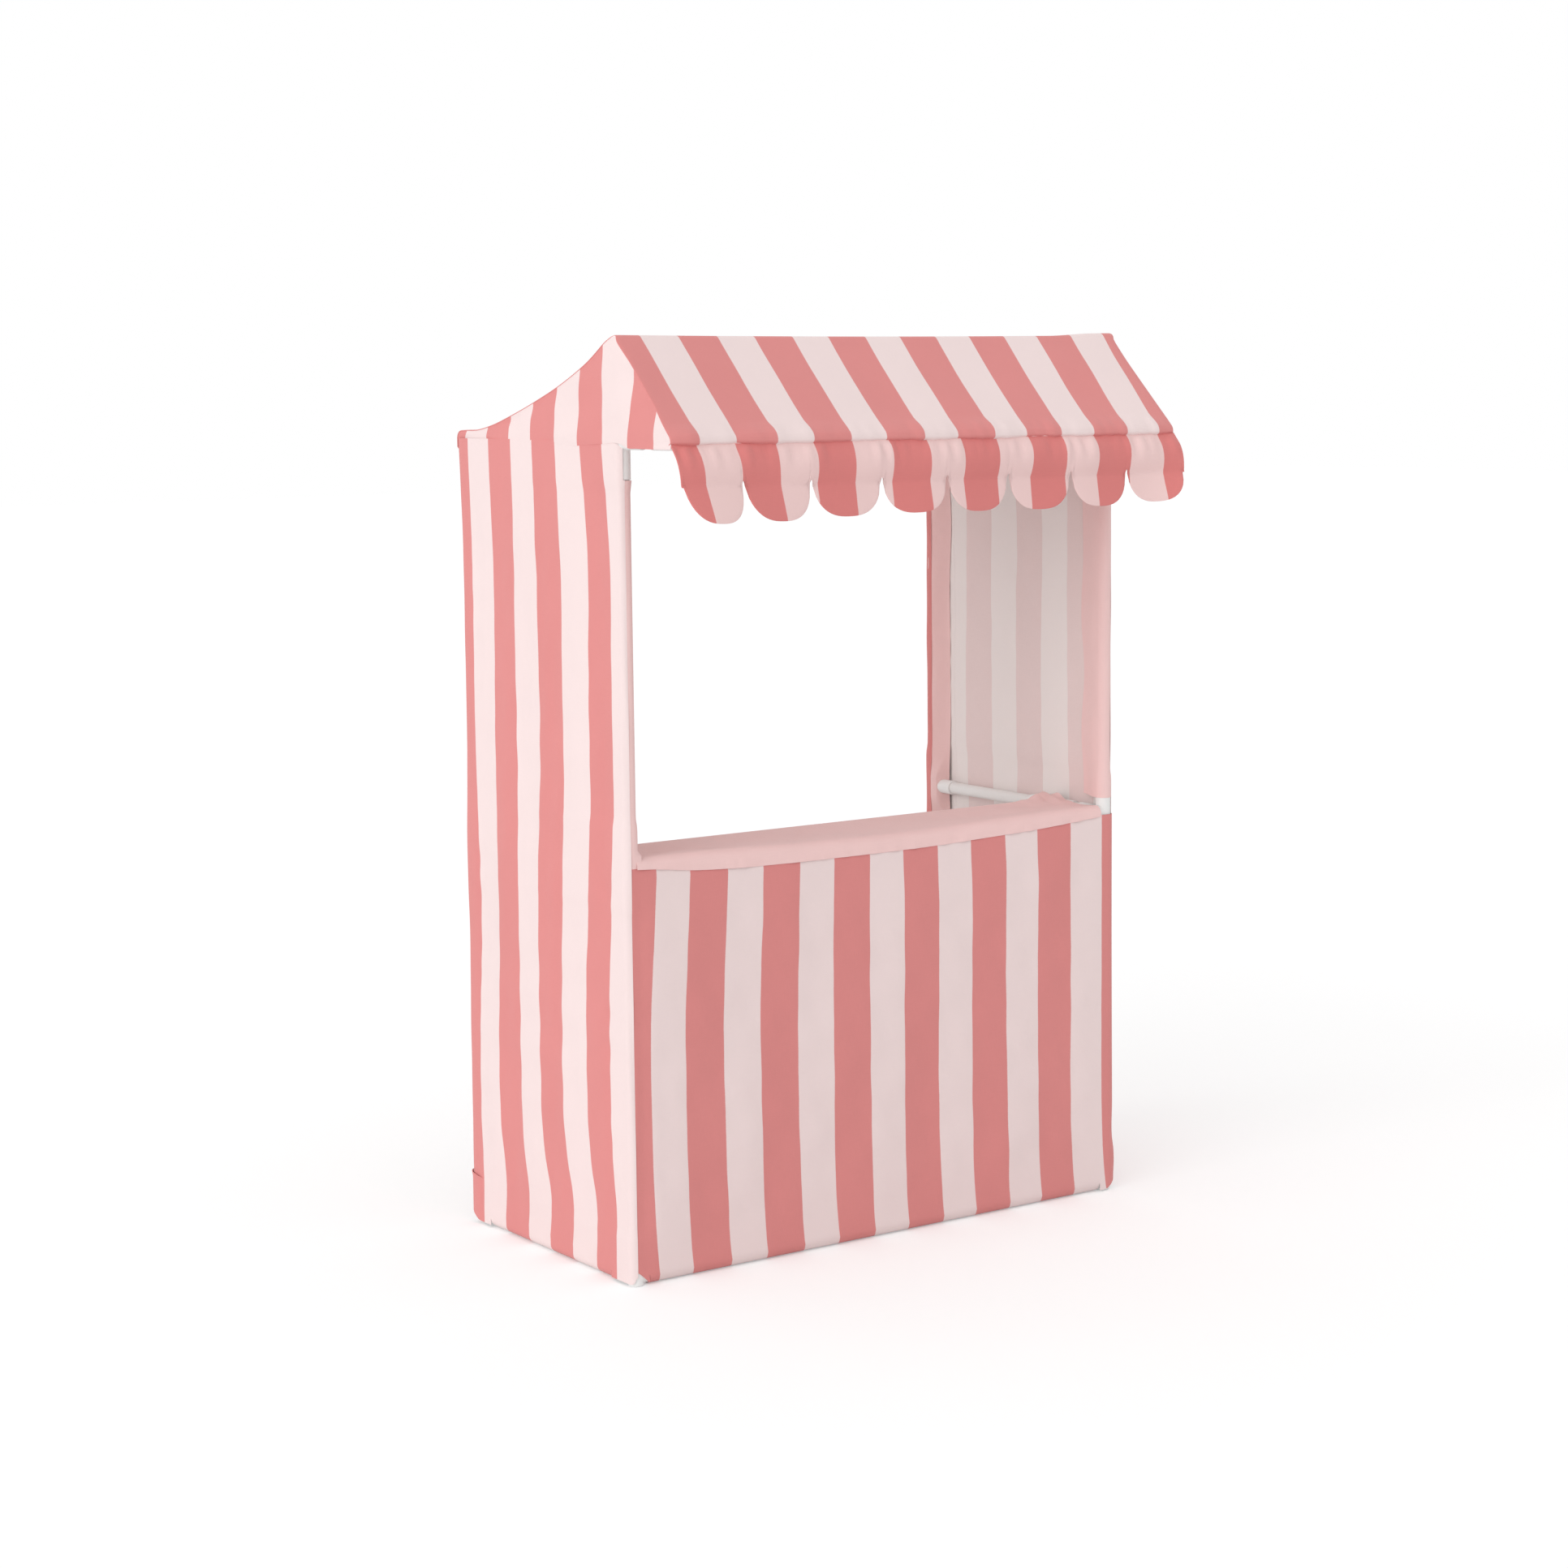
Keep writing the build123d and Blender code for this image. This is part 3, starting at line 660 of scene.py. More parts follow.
class STALL_OT_side_walls(bpy.types.Operator):
    """Sew the two side walls with their post sleeves and base hems"""
    bl_idname = "stall.side_walls"
    bl_label = "Side walls"

    def execute(self, context):
        sizes = context.scene.stall_sizes
        thread = thread_finish(context.scene)
        for side, name in ((-1, "left"), (1, "right")):
            reach = np.concatenate([
                stops(-FRONT_FLAP * ROUND, -TOP_FLAP * ROUND, -RIGHT_FLAP * ROUND, 0.0, step=2.6 * MM),
                stops(0.0, WRAP_EDGE, HEM_FRONT - HEM_SLIT, HEM_FRONT + HEM_SLIT, HEM_REAR - HEM_SLIT,
                      HEM_REAR + HEM_SLIT, DEPTH, step=6.5 * MM)[1:],
                stops(DEPTH, DEPTH + 0.6 * ROUND, DEPTH + SLEEVE_END, step=3.2 * MM)[1:],
            ])
            folded = BASE_Z - pi * ROUND
            rows = np.concatenate([
                stops(TOP_Z + 1 * MM, SLEEVE_TOP, COUNTER_GAP_HIGH, COUNTER_Z - 1 * MM, COUNTER_GAP_LOW,
                      0.078, FOOT_CUT, BASE_Z, step=7 * MM),
                stops(BASE_Z, WALL_END, folded, folded - 0.05, step=3.6 * MM)[1:],
            ])
            along, height = np.meshgrid(reach, rows)
            points = wall_at(side, along, height, sizes)
            keep = self.kept(side, reach, rows)
            scale = 1.0 if side < 0 else sizes.stripe_pitch / RIGHT_PITCH
            pattern = np.stack([wall_print(side, along, height) * scale, height], axis=-1)
            piece = sew(f"{name}_side_wall", points, pattern, sizes.cloth_thickness,
                        cloth_finishes(context.scene), keep, flip=side > 0)
            seams = self.stitches(side, name, sizes, thread)
            hang(piece, points, keep,
                 (f"{name}_side_panel", f"{name}_post_sleeves"))
        return {"FINISHED"}

    @staticmethod
    def kept(side, reach, rows):
        """Cells left after the openings for the fittings are cut out."""
        along = ((reach[1:] + reach[:-1]) / 2)[None, :]
        height = ((rows[1:] + rows[:-1]) / 2)[:, None]
        front = -along / ROUND
        rear = (along - DEPTH) / ROUND
        drop = (height > SLEEVE_TOP) & ((front > TOP_FLAP) | (rear > 1.6))
        drop |= (height < FOOT_CUT) & (rear > 1.5)
        drop |= (height < WALL_END) & ((along < HEM_FRONT) | (along > HEM_REAR))
        slit = np.minimum(abs(along - HEM_FRONT), abs(along - HEM_REAR)) < HEM_SLIT
        drop |= slit & (height < BASE_Z)
        if side > 0:
            drop |= (height < COUNTER_Z - 1 * MM) & (along < WRAP_EDGE)
            drop |= front > RIGHT_FLAP
        return ~drop

    @staticmethod
    def stitches(side, name, sizes, thread):
        """Seams beside both posts, two rows along the hem, and the edge row of the left wall."""
        z = np.linspace(0.072, SLEEVE_TOP + 0.03, 500)
        wander = 0.0015 * ripple(z, z * 0, 15 + side, 0.22)
        hem = np.linspace(0.060, HEM_REAR - 0.002, 160)
        upper = through(hem, (0.058, 0.086, 0.158, 0.217, 0.41), (0.058, 0.062, 0.064, 0.066, 0.068))
        rows = [
            ((0.024 if side < 0 else HEM_FRONT) + wander, z),
            (HEM_REAR - wander, z),
            (hem, upper),
            (hem, 0.028 + 0.037 * hem),
        ]
        if side < 0:
            rows.append((-FRONT_FLAP * ROUND + 1.0 * MM, np.linspace(0.020, SLEEVE_TOP - 0.004, 500)))

        def place(first, second):
            return wall_at(side, first, second, sizes)
        return stitch_line(f"{name}_wall_stitching", place, -side, rows, sizes.stitch_length, thread)


# Facings: plain strips that close the sleeves on the inside of the posts

def facing_at(side, rear, begin, z, width):
    """Places on a facing by height: from under the sleeve's end, over the post and across to the wall."""
    z = z[:, None]
    bed = ROUND - (0.4 + 2.0 * snug(z)) * MM
    beside = past_rail(z) * rear
    leave = radians(203) - radians(23) * beside
    turn = begin + (leave - begin) * np.linspace(0.0, 1.0, 12)[None, :]
    share = np.linspace(0.0, 1.0, 15)[None, 1:]
    wander = 0.0035 * ripple(z, z * 0, 81 + side + 2 * rear, 0.17)
    soft = 0.0013 * np.sin(pi * share) * ripple(z, share * 0.05, 91 + side + 2 * rear, 0.16)
    leave_out = bed * np.cos(leave)
    leave_in = -bed * np.sin(leave)
    ease = (0.45 * share + 0.55 * gentle(share)) * (1.0 - beside) + gentle((share - 0.70) / 0.30) * beside
    across = leave_out + (ROUND - 3.2 * MM - leave_out) * ease - soft - 0.4 * MM * beside
    inward = leave_in + (width + wander - leave_in) * share
    over_bar = (not rear and side < 0) * gentle((0.0225 - abs(z - COUNTER_GAP_MIDDLE)) / 0.008)
    straight = np.clip(turn - pi / 2, 0, None) * over_bar
    turn = turn - straight
    out = np.concatenate([bed * np.cos(turn) - bed * straight, across], axis=1)
    depth = np.concatenate([-bed * np.sin(turn), inward], axis=1)
    return stall_points(side * (POST_X + out), DEPTH - depth if rear else depth, z)


class STALL_OT_facings(bpy.types.Operator):
    """Sew the plain facings of the post sleeves"""
    bl_idname = "stall.facings"
    bl_label = "Sleeve facings"

    def execute(self, context):
        sizes = context.scene.stall_sizes
        for side, name in ((-1, "left"), (1, "right")):
            for rear, end in ((False, "front"), (True, "rear")):
                begin = radians(172) if rear else radians(28 if side > 0 else 60)
                high, low = COUNTER_GAP_HIGH + 1 * MM, COUNTER_GAP_LOW - 1 * MM
                rows = stops(SLEEVE_TOP - 1 * MM, high, low, 0.062, step=9 * MM)
                width = 0.032 if rear else 0.063
                points = facing_at(side, rear, begin, rows, width)
                height = points[..., 2]
                centre = ((rows[1:] + rows[:-1]) / 2)[:, None]
                gap = (centre > low) & (centre < high)
                on_post = (np.arange(points.shape[1] - 1) < 7)[None, :] & (centre > COUNTER_Z - 3 * MM)
                keep = ~gap | rear | (on_post & (side < 0))
                pattern = np.stack([np.broadcast_to(run_along(points[0]), height.shape), height], axis=-1)
                piece = sew(f"{name}_{end}_facing", points, pattern, sizes.cloth_thickness,
                            cloth_finishes(context.scene, plain_side=True), keep)
                hang(piece, points, keep)
        return {"FINISHED"}


# Roof line, seen from the side: rear flap, rear bar, back slope, ridge, front slope, eave

SLOPE = atan2(RIDGE_RISE, -EAVE_DEPTH)
SEAM_ANGLE = radians(204)
BACK_SAG = 27 * MM
# The back slope is stretched a little flatter and lies down on the mouths of the rear sockets.
SETTLE_DEPTH = (-0.2, 0.0, 0.05, 0.15, 0.22, 0.29, 0.36, 0.40, 0.437, 0.46, 0.5)
SETTLE = (0.0, 0.0, 0.3, 2.2, 2.8, 0.8, -3.0, -3.6, -0.6, 0.0, 0.0)


def roof_line():
    """Depth, height over the top rails, and outward direction of the roof cloth from back to front."""
    span = hypot(DEPTH, RIDGE_RISE)
    reach = (span**2 / 4 + BACK_SAG**2) / (2 * BACK_SAG)
    lift = (reach - BACK_SAG) / span
    centre_y = DEPTH / 2 + RIDGE_RISE * lift
    centre_z = RIDGE_RISE / 2 + DEPTH * lift
    leave = atan2(centre_z - RIDGE_RISE, centre_y)
    land = atan2(centre_z, centre_y - DEPTH)
    spots = []

    def arc(y, z, radius, start, end, count, outward=1):
        for angle in np.linspace(start, end, count):
            back, up = cos(angle), sin(angle)
            spots.append((y + radius * back, z + radius * up, outward * back, outward * up))

    for fall in np.linspace(-(TOP_Z - WALL_TOP) - 3 * MM, -1 * MM, 4):
        spots.append((DEPTH + ROUND, fall, 1.0, 0.0))
    arc(DEPTH, 0, ROUND, 0.0, land - radians(3), 9)
    arc(centre_y, centre_z, reach - ROUND, land + pi - radians(0.2), leave + pi + radians(0.2), 66, -1)
    arc(0, RIDGE_RISE, ROUND, leave, SLOPE + pi / 2, 15)
    ridge = np.array(spots[-1])
    normal = SLOPE + pi / 2
    eave = np.array((EAVE_DEPTH + ROUND * cos(normal), ROUND * sin(normal), cos(normal), sin(normal)))
    for share in np.linspace(0, 1, 30)[1:-1]:
        spots.append(tuple(ridge + (eave - ridge) * share))
    arc(EAVE_DEPTH, 0, ROUND, normal, SEAM_ANGLE, 16)
    spots = np.array(spots)
    settle = through(spots[:, 0], SETTLE_DEPTH, SETTLE) * MM
    spots[:, 0] += settle * spots[:, 2]
    spots[:, 1] += settle * spots[:, 3]
    return spots


ROOF = roof_line()


def roof_height(depth):
    """Height of the roof cloth over the top rails above a depth."""
    order = np.argsort(ROOF[4:-4, 0])
    return np.interp(depth, ROOF[4:-4, 0][order], ROOF[4:-4, 1][order])


# Where a dark stripe starts on the roof, and on the left and the right gable
ROOF_STRIPE = 0.049
GABLE_STRIPE = {-1: 0.036, 1: 0.046}
# Lower edge of the gables, in millimetres over the top rails
GABLE_SEAM_DEPTH = (-0.16, -0.06, -0.038, -0.022, 0.037, 0.103, 0.173, 0.243, 0.299, 0.372, 0.47)
GABLE_SEAM = (-10.0, -9.5, -9.0, -4.0, -4.0, -7.0, -9.0, -10.5, -11.0, -14.5, -15.0)


def ridge_lift(x, depth):
    """The right end of the ridge is pushed up by the heel of its elbow."""
    return 3.2 * MM * gentle((x - 0.34) / 0.09) * np.exp(-((depth / 0.03) ** 2))


def gable_out(side, depth, rise, sizes):
    """How far the gable stands out from the posts: tight on the ridge post and rails, slack between."""
    away = gentle((abs(depth) - 0.011) / np.where(depth > 0, 0.075, 0.040))
    away = away * gentle((DEPTH + 0.02 - depth) / 0.12) * gentle((depth - EAVE_DEPTH + 0.01) / 0.05)
    high = gentle((rise - 0.004) / np.where(depth > 0, 0.085, 0.045))
    lean = away * high
    if side > 0:
        near_top = gentle((rise - roof_height(depth) + 0.013) / 0.013)
        drawn_in = 2.9 - 1.6 * np.clip(depth / EAVE_DEPTH, 0, 1)
        front_lean = drawn_in * gentle((-depth - 0.003) / 0.014) * np.maximum(high, near_top)
        lean = np.where(depth < 0, front_lean, lean)
    heel = ROUND + 1.1 * MM
    crown = 0.86 * np.clip(rise - RIDGE_RISE, 0, ROUND)
    return np.sqrt(heel**2 - crown**2) - sizes.gable_lean * lean


class STALL_OT_gables(bpy.types.Operator):
    """Sew the two gables under the roof cloth"""
    bl_idname = "stall.gables"
    bl_label = "Gables"

    def execute(self, context):
        sizes = context.scene.stall_sizes
        for side, name in ((-1, "left"), (1, "right")):
            depth = stops(EAVE_DEPTH - 0.0115, EAVE_DEPTH + 0.02, 0.0, DEPTH, DEPTH + 0.0125, step=6.5 * MM)
            share = np.linspace(1.0, 0.0, 24)
            along, up = np.meshgrid(depth, share)

            def place(along, up, side=side):
                """Place on the gable, with up 0 at its lower edge and 1 under the roof cloth."""
                bottom = through(along, GABLE_SEAM_DEPTH, GABLE_SEAM) * MM
                top = roof_height(along) - 0.3 * MM + ridge_lift(side * POST_X, along)
                rise = bottom + up * (top - bottom)
                out = gable_out(side, along, rise, sizes)
                free = gentle(up / 0.2) * gentle((1 - up) / 0.2)
                soft = 0.0011 * ripple(along, rise, 43 + side, 0.085) * free
                seam = 0.0004 * np.exp(-((up - 0.06) / 0.05) ** 2)
                draw = 0.0005 * ripple(along, along * 0, 44 + side, 0.05) * gentle((0.25 - up) / 0.25)
                return stall_points(side * (POST_X + out + soft + seam + draw), along, TOP_Z + rise)
            points = place(along, up)
            rise = points[..., 2] - TOP_Z
            front_drift_in = 0.008 + 0.016 * gentle(rise / 0.12)
            rear_drift_in = 0.005 + 0.006 * gentle((up - 0.6) / 0.4)
            drift = np.where(along < 0, front_drift_in, rear_drift_in)
            pattern = np.stack([along - GABLE_STRIPE[side] + drift, points[..., 2]], axis=-1)
            piece = sew(f"{name}_gable_cloth", points, pattern, sizes.cloth_thickness,
                        cloth_finishes(context.scene), flip=side > 0)
            hang(piece, points, None,
                 (f"{name}_gable",), flat=(depth[-1] - depth[0], RIDGE_RISE + 2 * ROUND))
        return {"FINISHED"}


class STALL_OT_roof(bpy.types.Operator):
    """Sew the roof cloth over the rear bar, the ridge and the eave"""
    bl_idname = "stall.roof"
    bl_label = "Roof"

    def execute(self, context):
        sizes = context.scene.stall_sizes
        depth, rise, out_y, out_z = (ROOF[:, k][:, None] for k in range(4))
        over_rail = np.maximum(rise, -0.012)
        edge = [POST_X + gable_out(side, depth, over_rail, sizes) + 0.5 * MM for side in (-1, 1)]
        inner = stops(-1.0, 1.0, step=0.0155)[1:-1]
        share = np.concatenate([[-1.0] * 3, inner, [1.0] * 3])[None, :]
        turned = np.zeros(share.shape[1])
        turned[:2] = (1.0 * MM, 0.3 * MM)
        turned[-2:] = (0.3 * MM, 1.0 * MM)
        inset = np.zeros(share.shape[1])
        inset[[0, 1, 2]] = (-0.2 * MM, 0.0, 0.9 * MM)
        inset[[-1, -2, -3]] = (-0.2 * MM, 0.0, 0.9 * MM)
        x = share * (np.where(share < 0, edge[0], edge[1]) - inset[None, :])
        middle_span = 1.0 - (x / POST_X) ** 2
        slack = gentle(rise / RIDGE_RISE) * 0.0021 * np.clip(middle_span, 0, 1)
        ran = run_along(ROOF[:, :2])[:, None]
        on_back = np.sin(pi * np.clip(depth / DEPTH, 0, 1))
        on_front = np.sin(pi * np.clip(depth / EAVE_DEPTH, 0, 1))
        held = np.clip((1 - abs(share)) / 0.06, 0, 1)
        lift = -slack - turned[None, :]
        lift = lift + held * on_back * (-0.004 * middle_span + 0.0022 * ripple(x, ran, 8, 0.22))
        lift = lift + held * on_front * (-0.0018 * middle_span + 0.0009 * ripple(x, ran, 9, 0.15))
        past_eave = gentle((EAVE_DEPTH + 0.012 - depth) / 0.02)
        gather = ripple(x, x * 0, 21, 0.028) * 0.0011 + ripple(x, x * 0, 22, 0.11) * 0.0012
        lift = lift + held * past_eave * (gather + 0.0026)
        lift = lift - gentle(-rise / 0.006) * past_eave * 0.0044
        lift = lift + ridge_lift(x, depth)
        points = np.stack(
            np.broadcast_arrays(x, FRONT_Y + depth + out_y * lift, TOP_Z + rise + out_z * lift), axis=-1)
        to_eave = np.clip(depth / EAVE_DEPTH, 0, 1)
        skew = 0.0025 * (1 - to_eave) + (0.010 + 0.016 * to_eave) * (x + 0.42)
        pattern = np.stack(np.broadcast_arrays(x - ROOF_STRIPE + skew, ran), axis=-1)
        piece = sew(
            "roof_sheet", points, pattern, sizes.cloth_thickness, cloth_finishes(context.scene), flip=True)
        hang(piece, points, None,
             ("roof_cloth",))
        self.channels(context.scene, sizes)
        return {"FINISHED"}

    @staticmethod
    def channels(scene, sizes):
        """Plain strips under the roof cloth that hold it round the eave and rear bars."""
        x = stops(-SOCKET_X, SOCKET_X, step=14 * MM)[None, :]
        radius = ROUND - 1.5 * MM
        turn = np.linspace(radians(96), radians(285), 22)
        local = [(radius * cos(angle), radius * sin(angle)) for angle in turn]
        tail = np.array(local[-1])
        seam = np.array((0.044, ROUND - 2.0 * MM))
        local += [tuple(tail + (seam - tail) * share) for share in np.linspace(0, 1, 12)[1:]]
        ahead, over = np.array(local).T[:, :, None]
        sag = np.sin(pi * np.linspace(0, 1, len(local)))[:, None]
        ran = np.arange(len(local))[:, None] * 2.6 * MM
        pattern = np.stack(np.broadcast_arrays(x, ran), axis=-1)
        tilted = (ahead * cos(SLOPE) - over * sin(SLOPE), ahead * sin(SLOPE) + over * cos(SLOPE))
        for name, bar, y, (back, up), seed, nodes in (
                ("eave_channel", "eave_bar", EAVE_DEPTH, tilted, 61, ("roof_channels",)),
                ("rear_channel", "rear_top_bar", DEPTH, (-ahead, over), 62, ())):
            soft = 0.0007 * ripple(x, back, seed, 0.10) * sag
            points = stall_points(x, y + back, TOP_Z + up - abs(soft))
            piece = sew(
                name, points, pattern, sizes.cloth_thickness, cloth_finishes(scene, plain_side=True))
            hang(piece, points, None, nodes)


# Valance: lined strip with eight scallops that hangs from the eave seam

# Where the scallops meet, and how far forward the valance flares across the stall
NOTCHES = (-0.4684, -0.360, -0.237, -0.109, 0.011, 0.131, 0.250, 0.363, 0.4684)
FLARE_X = (-0.468, -0.422, -0.292, -0.154, -0.021, 0.111, 0.260, 0.437, 0.468)
FLARE = (0.047, 0.045, 0.029, 0.016, 0.019, 0.013, 0.016, 0.034, 0.048)
VALANCE_STRIPE = 0.045
VALANCE_FALL = 0.109
NOTCH_FALL = 0.063
NOTCH_RISE = 9 * MM
NOTCH_HALF_WIDTH = 4.5 * MM
# How much longer than the middle ones the outer scallops are, in millimetres
LONGER_X = (-0.414, -0.299, -0.173, 0.306, 0.416)
LONGER = (8.0, 4.5, 0.0, 0.0, -3.0)


def valance_at(x, fall):
    """Place on the valance at a distance below its seam."""
    seam_y = EAVE_DEPTH + (ROUND - 1.6 * MM) * cos(SEAM_ANGLE)
    seam_z = TOP_Z + (ROUND - 1.6 * MM) * sin(SEAM_ANGLE) + 1 * MM
    share = fall / VALANCE_FALL
    flare = through(x, FLARE_X, FLARE)
    forward = flare * share**1.15
    puff = 0.0074 * np.sin(pi * np.clip(share / 0.55, 0, 1)) ** 0.9
    puff = puff * (1 + 0.35 * ripple(x, x * 0, 33, 0.12))
    wave = 0.0030 * ripple(x, fall * 0.35, 34, 0.16) * gentle(share / 0.6)
    gather = 0.0017 * ripple(x, x * 0, 35, 0.032) * gentle((0.45 - share) / 0.35) * gentle(share / 0.08)
    forward = forward + puff + wave * 0.8 + gather
    down = fall - 0.35 * forward * forward / np.maximum(fall, 0.02)
    return stall_points(x, seam_y - forward, seam_z - down)


class STALL_OT_valance(bpy.types.Operator):
    """Sew the scalloped valance"""
    bl_idname = "stall.valance"
    bl_label = "Valance"

    def execute(self, context):
        sizes = context.scene.stall_sizes
        swing = np.sin(np.linspace(-pi / 2, pi / 2, 29))
        columns, falls = [], []
        depth = VALANCE_FALL - NOTCH_FALL
        for left, right in zip(NOTCHES, NOTCHES[1:]):
            centre, half = (left + right) / 2, (right - left) / 2
            bay = centre + half * swing
            aside = abs(bay - centre)
            inside = np.clip(aside / (half - 3.5 * MM), 0, 1)
            longer = through(centre, LONGER_X, LONGER) * MM
            fall = NOTCH_FALL + (depth + longer) * (1 - inside**2.7) ** 0.5
            in_notch = gentle((aside - half + NOTCH_HALF_WIDTH) / NOTCH_HALF_WIDTH)
            fall = fall - NOTCH_RISE * in_notch * (abs(abs(bay) - HALF_WIDTH) > 0.012)
            columns.append(bay[:-1])
            falls.append(fall[:-1])
        columns.append(np.array([NOTCHES[-1]]))
        falls.append(np.array([falls[0][0]]))
        x = np.concatenate(columns)
        bottom = np.concatenate(falls)
        share = np.concatenate([np.linspace(0, 0.9, 22), [0.94, 0.97, 0.99, 1.0]])[:, None]
        fall = share * bottom[None, :]
        across = np.broadcast_to(x[None, :], fall.shape)
        points = valance_at(across, fall)
        rim = np.minimum((1 - share) * bottom[None, :], HALF_WIDTH + 0.002 - abs(across))
        thick = sizes.valance_thickness * (0.42 + 0.58 * np.clip(rim / 0.006, 0, 1) ** 0.5)
        skew = 0.020 * gentle((across + 0.05) / 0.55)
        pattern = np.stack([across - VALANCE_STRIPE + skew, fall], axis=-1)
        tints = context.scene.stall_colours
        # Painted shade: the valance's stripes are darker and pinker than those of the rest of the cover.
        dark, light = valance_painted_shade(tints.dark_stripe), valance_painted_shade(tints.light_stripe)
        valance_shaded_stripe = material("valance_stripe_painted_shade", striped(dark, light, sizes))
        piece = sew("valance_cloth", points, pattern, thick, (valance_shaded_stripe, valance_shaded_stripe))
        hang(piece, points, None, ("valance",),
             flat=(NOTCHES[-1] - NOTCHES[0], VALANCE_FALL + 8 * MM))
        return {"FINISHED"}


# Front cloth below the counter

# Height of the seam under the counter, across the stall
SEAM_X = (-0.455, -0.424, -0.356, -0.291, -0.225, -0.15, 0.0, 0.11, 0.173, 0.24, 0.306, 0.37, 0.44)
SEAM_Z = (0.629, 0.627, 0.619, 0.615, 0.613, 0.612, 0.6115, 0.6125, 0.6145, 0.6165, 0.619, 0.623, 0.628)
FRONT_LEFT = -POST_X - 6.5 * MM
FRONT_RIGHT = POST_X + ROUND * pi / 2 + 0.026
FRONT_HEM_X = POST_X - 16 * MM
FRONT_STRIPE = 0.034
FRONT_END = 2.5 * MM
FRONT_HEM_LINE = 37 * MM
# Right of this the upper edge is turned over and shows, left of it the edge is under the counter cloth
TURNED_EDGE_X = 0.432
TURNED_EDGE_LINE = 0.6215
# How far the wrap round the right post stands off it, in millimetres, by height
FLARE_HEIGHTS = (0.0, 0.072, 0.084, 0.15, 0.30, 0.45, 0.63)
RIGHT_FLARE = (7.2, 6.8, 4.4, 3.8, 2.0, 0.6, 0.0)


def front_seam(x):
    """Height of the seam between the front cloth and the counter cloth."""
    return through(np.clip(x, SEAM_X[0], SEAM_X[-1]), SEAM_X, SEAM_Z)


def bar_drop(x):
    """How far the bowed front counter bar hangs below its sockets."""
    span = SOCKET_X + 1.6 * MM
    reach = np.clip(abs(x) / span, 0, 1)
    inner = 1.0 - 2.0 * reach**2
    outer = 2.0 * (1.0 - reach) ** 2
    return BAR_SAG * np.where(reach < 0.5, inner, outer)


def front_at(reach, z, sizes):
    """Place on the front cloth: reach runs across and on round both posts, z down to the hem."""
    reach, z = np.broadcast_arrays(reach, z)
    radius = ROUND + 1.3 * MM
    right = np.clip(reach - POST_X, 0, radius * pi / 2) / radius
    beyond = np.clip(reach - POST_X - radius * pi / 2, 0, None)
    tucked = flap_under(z)
    left = np.clip(-POST_X - reach, 0, None) / tucked
    flat = np.clip(reach, -POST_X, POST_X)
    between = np.clip((POST_X - abs(flat)) / 0.06, 0, 1)
    upright = gentle((COUNTER_Z - 0.01 - z) / 0.10) * gentle((z - BASE_Z) / 0.10)
    bow = sizes.front_bulge * upright * np.sin(pi * np.clip((flat + POST_X) / (2 * POST_X), 0, 1)) ** 0.5
    folds = 0.0017 * ripple(flat, z * 0.25, 5, 0.17) + 0.0007 * ripple(flat, z * 0.5, 6, 0.06)
    relief = (bow * (0.8 + 0.3 * ripple(flat, z * 0.4, 7, 0.5)) + folds * upright) * between
    inward = (radius - tucked) * gentle((-POST_X + 0.032 - flat) / 0.026)
    tuck = 0.0022 * gentle((z - front_seam(flat) + 0.0015) / 0.004) * (reach < TURNED_EDGE_X)
    out = radius + relief - inward - tuck
    beside = radius + through(z, FLARE_HEIGHTS, RIGHT_FLARE) * MM
    x = flat + beside * np.sin(right) - tucked * np.sin(left)
    depth = np.where(right > 0, -radius * np.cos(right), -out * np.cos(left)) + beyond
    turn = np.clip(BASE_Z - z, 0, pi * ROUND) / ROUND
    rise = np.clip(BASE_Z - z - pi * ROUND, 0, None)
    hemmed = abs(reach) < FRONT_HEM_X
    under = -ROUND * np.cos(turn) - (2 * ROUND - 0.0022) * gentle(rise / 0.026)
    depth = np.where(hemmed & (z < BASE_Z), under, depth)
    right_cut = 0.013 * gentle((reach - POST_X + 0.004) / 0.020)
    left_cut = 0.020 * gentle((-POST_X + 0.022 - reach) / 0.030)
    height = np.where(hemmed & (z < BASE_Z), BASE_Z - ROUND * np.sin(turn) + rise, z)
    height = height + np.where(hemmed, 0.0, (right_cut + left_cut) * gentle((0.060 - z) / 0.056))
    return stall_points(x, depth, height)


def front_drift(x, z):
    """How far the stripes of the front cloth drift to the right of the straight grain."""
    at_seam = 0.015 * np.clip((0.10 - x) / 0.485, 0, 1.1) * np.clip((z - 0.36) / 0.25, 0, 1) ** 1.5
    at_hem = 0.013 * np.exp(-np.maximum(z, 0.0) / 0.075)
    at_left = 0.007 * gentle((-0.385 - x) / 0.05)
    return at_seam + at_hem + at_left


